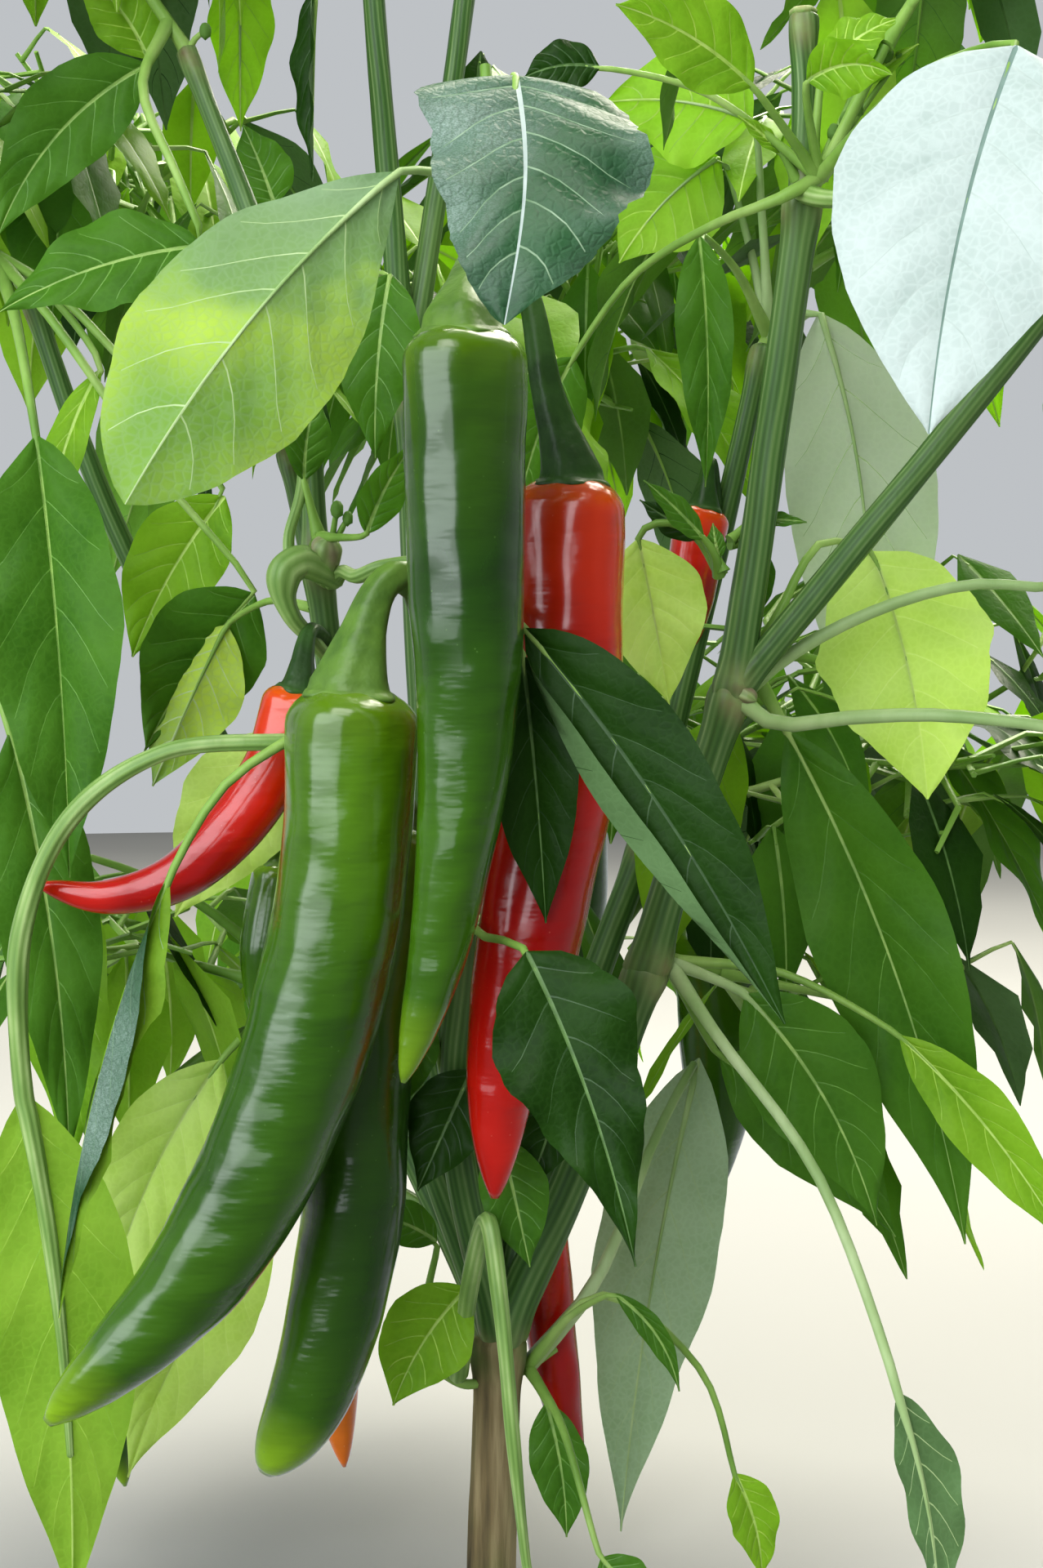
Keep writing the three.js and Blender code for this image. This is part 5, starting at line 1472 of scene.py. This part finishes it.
def rind():
    finish = Finish("young_rind", roughness=0.4, specular_ior_level=0.35)
    grain = finish.noise(260, 3, (1, 1, 0.4))
    stripes = finish.ramp(finish.attribute("rib"), (0.1, (0.12, 0.24, 0.045)), (0.5, (0.2, 0.34, 0.08)),
        (0.9, (0.36, 0.5, 0.18)))
    shade = finish.spots(grain, (0.4, 0.75, 0.45), stripes, (0.13, 0.25, 0.05))
    brown = finish.ramp(finish.noise(150, 3), (0.35, (0.15, 0.11, 0.07)), (0.6, (0.26, 0.22, 0.14)))
    finish.colour(finish.mix(finish.attribute("joint"), shade, brown))
    finish.bump((grain, 0.0003))
    return finish.material


young_rind = rind()
grow_stub("stub_left_curled", [(-36, -28, 268), (-40.5, -34, 271), (-45, -37, 272.8), (-48.4, -38, 270.5),
    (-49, -38, 265.3), (-47, -37, 259.6), (-43.3, -33, 255), (-39.5, -27, 250)],
    (2.4, 3, 4.2, 4.4, 2.4, 1.9, 1.7, 1.6))
grow_stub("stub_left_bulb", [(-39, -27, 268), (-39.5, -33, 272), (-38.7, -36.5, 276.5), (-38.2, -38, 278.6)],
    (2.6, 3, 3.6, 3.6), 0.75)
grow_stub("stub_left_outward", [(-39, -29, 267), (-35.3, -34, 270.6), (-31.5, -38, 269.3),
    (-25.4, -42, 271.5), (-17.6, -44, 272.6), (-8, -45, 272)], (1.8, 1.6, 1.8, 1.4, 1.4, 1.3))
grow_stub("stub_left_upward", [(-47.5, -36, 272), (-47.8, -35, 279), (-45.1, -34, 289), (-44, -31, 300),
    (-44, -25, 318)], (1.4, 1.2, 1.6, 1.5, 1.2))
grow_stub("stub_right_top", [(77.5, -20, 364), (76.6, -25, 362.3), (80.7, -30, 360), (88, -34, 359.2),
    (96, -37, 361)], (2.6, 2.5, 2.2, 1.7, 1.2))
grow_stub("swelling_right_scar", [(61, -14, 242), (66.5, -16.5, 239)], (2.6, 2.2), 0.7)
for leaf, stem in ribbed_stalks:
    radii = leaf.size["look"]["ribbed"]
    grow_stub("stalk_of_" + leaf.mass, [*stem, *leaf.midrib(arrays(stalk_on_blade))],
        (*radii, radii[-1] * 0.8, 0.8))

# The pruned end of the right bough: a pale ring of cut rind round a sunken, drier core.
stub_tip, stub_way = arrays(limb_tips["bough_right_stub"]), arrays([-0.02, -0.01, 1])
cut_around = 40
cut_lift = 0.4
rings = ((0.0, 3.15), (0.9, 3.3), (1.6, 3.3), (1.95, 2.9), (1.7, 2.3), (1.1, 1.7), (0.8, 0.5), (0.78, 0.1))
cut_rise, cut_radius = arrays(rings).T


def cut_surface(angle, ring):
    return cut_radius[ring] * (1 + 0.05 * np.sin(3 * angle) + 0.04 * np.sin(5 * angle + 1))


cut_mesh, angle, ring = lofted("cut_end", cut_around, stub_tip + (cut_rise + cut_lift)[:, None] * stub_way,
    np.tile(unit(stub_way), (len(rings), 1)), cut_surface)
set_values(cut_mesh, "along", ring / (len(rings) - 1))
cut = Finish("cut_rind", roughness=0.7, specular_ior_level=0.3)
pale = cut.ramp(cut.attribute("along"), (0.1, (0.16, 0.27, 0.06)), (0.35, (0.5, 0.55, 0.25)),
    (0.6, (0.6, 0.58, 0.33)), (0.9, (0.3, 0.24, 0.11)))
cut.colour(cut.spots(cut.noise(700, 3), (0.4, 0.7, 0.5), pale, (0.28, 0.24, 0.1)))
cut.bump((cut.noise(900, 3), 0.0003))
new_piece("cut_end", cut_mesh, [cut.material])

# Flower buds on short stalks, most at the top joint, green and no bigger than a lentil.
buds = [((86.7, -23, 379.7), 1.7), ((89.7, -22, 382.7), 1.5), ((83.7, -23, 377), 1.6), ((85.5, -25, 375),
    1.3), ((91.9, -22, 393.8), 1.5), ((96.5, -23, 395.4), 1.7), ((99.5, -23, 394.6), 1.3), ((-36, -39, 285),
    1.6), ((-33.5, -38, 283), 1.3), ((150, -40, 372), 1.6), ((-70, -12, 404), 1.5), ((-2, 42, 476), 1.6)]
bud_stretch = arrays([1, 1, 1.35])
bud_stalk_low, bud_stalk_high = 0.9, 0.6
bud_copies = []
for place, size in buds:
    sheet = bmesh.new()
    bmesh.ops.create_icosphere(sheet, subdivisions=2, radius=size)
    bud = Form(sheet)
    stretched = bud.places * bud_stretch
    crimped = stretched * (1 + 0.1 * np.cos(5 * np.arctan2(stretched[:, 1], stretched[:, 0])))[:, None]
    bud_copies.append((bud, arrays(place) + crimped, bud.kinds))
joined_piece("buds", bud_copies, [leaf_finishes[finish_at["under_fresh"]]])
bud_roots = [(80, -21, 366)] * 7 + [(-38, -34, 274)] * 2 + [(153, -38, 362), (-75, -8, 400), (-2, 46, 470)]
bud_stalks = []
for root, (place, size) in zip(bud_roots, buds):
    middle = (arrays(root) + arrays(place)) / 2 + arrays([0, 0, 1])
    bud_stalks.append(laid_tube([root, middle, place], bud_stalk_low, bud_stalk_high, fine=True))
joined_piece("bud_stalks", bud_stalks, [leaf_stalk])

# The floor is plain and pale, the light soft and mostly from above and behind, and the camera is where
# the photograph was taken from.
floor_sides = 96
floor_radius = 2.6
sheet = bmesh.new()
bmesh.ops.create_circle(sheet, cap_ends=True, segments=floor_sides, radius=floor_radius)
floor_mesh = bpy.data.meshes.new("floor")
sheet.to_mesh(floor_mesh)
sheet.free()
floor = bpy.data.objects.new("floor", floor_mesh)
bpy.context.scene.collection.objects.link(floor)
pale = Finish("pale_floor", roughness=0.8, specular_ior_level=0.2)
pale.colour(pale.ramp(pale.noise(2, 2), (0.3, (0.26, 0.265, 0.26)), (0.7, (0.29, 0.295, 0.29))))
floor_mesh.materials.append(pale.material)
floor.visible_glossy = False

world = bpy.data.worlds.new("studio")
world.use_nodes = True
sky = world.node_tree.nodes["Background"]
sky.inputs["Color"].default_value = (0.92, 0.96, 1.0, 1)
# brighter behind the plant than in front of it
direction = world.node_tree.nodes.new("ShaderNodeTexCoord")
apart = world.node_tree.nodes.new("ShaderNodeSeparateXYZ")
brightness = world.node_tree.nodes.new("ShaderNodeMapRange")
for socket, value in (("From Min", -0.3), ("From Max", 0.8), ("To Min", 0.12), ("To Max", 0.56)):
    brightness.inputs[socket].default_value = value
world.node_tree.links.new(direction.outputs["Generated"], apart.inputs["Vector"])
world.node_tree.links.new(apart.outputs["Y"], brightness.inputs["Value"])
world.node_tree.links.new(brightness.outputs["Result"], sky.inputs["Strength"])
bpy.context.scene.world = world
bpy.context.scene.view_settings.view_transform = "Standard"


def soft_light(name, place, aim, size, watts, colour, mirrored=True):
    lamp = bpy.data.lights.new(name, "AREA")
    lamp.shape = "RECTANGLE"
    lamp.size, lamp.size_y = size
    lamp.energy = watts
    lamp.color = colour
    holder = bpy.data.objects.new(name, lamp)
    bpy.context.scene.collection.objects.link(holder)
    holder.location = place
    holder.visible_glossy = mirrored
    holder.rotation_euler = (Vector(aim) - Vector(place)).to_track_quat("-Z", "Y").to_euler()


soft_light("light_above_behind", (0.45, 0.9, 1.5), (0, 0.05, 0.25), (1.2, 1.2), 100, (1.0, 0.94, 0.8))
soft_light("light_front_left", (-0.95, -1.15, 0.75), (0, 0, 0.2), (2.0, 1.4), 39, (0.9, 0.95, 1.0))
soft_light("light_front_right", (1.25, -0.75, 0.7), (0, 0, 0.2), (1.1, 1.1), 4, (0.92, 0.96, 1.0), False)
soft_light("light_top", (-0.15, -0.65, 1.25), (0, 0, 0.3), (0.8, 0.6), 8, (1.0, 0.98, 0.94))

lens = bpy.data.cameras.new("camera")
lens.lens = 53.8
lens.sensor_width = 36
lens.clip_start = 0.01
camera = bpy.data.objects.new("camera", lens)
bpy.context.scene.collection.objects.link(camera)
camera.location = tuple(camera_place * METRE)
camera.rotation_euler = (math.radians(90 - 3.4), 0, 0)
bpy.context.scene.camera = camera
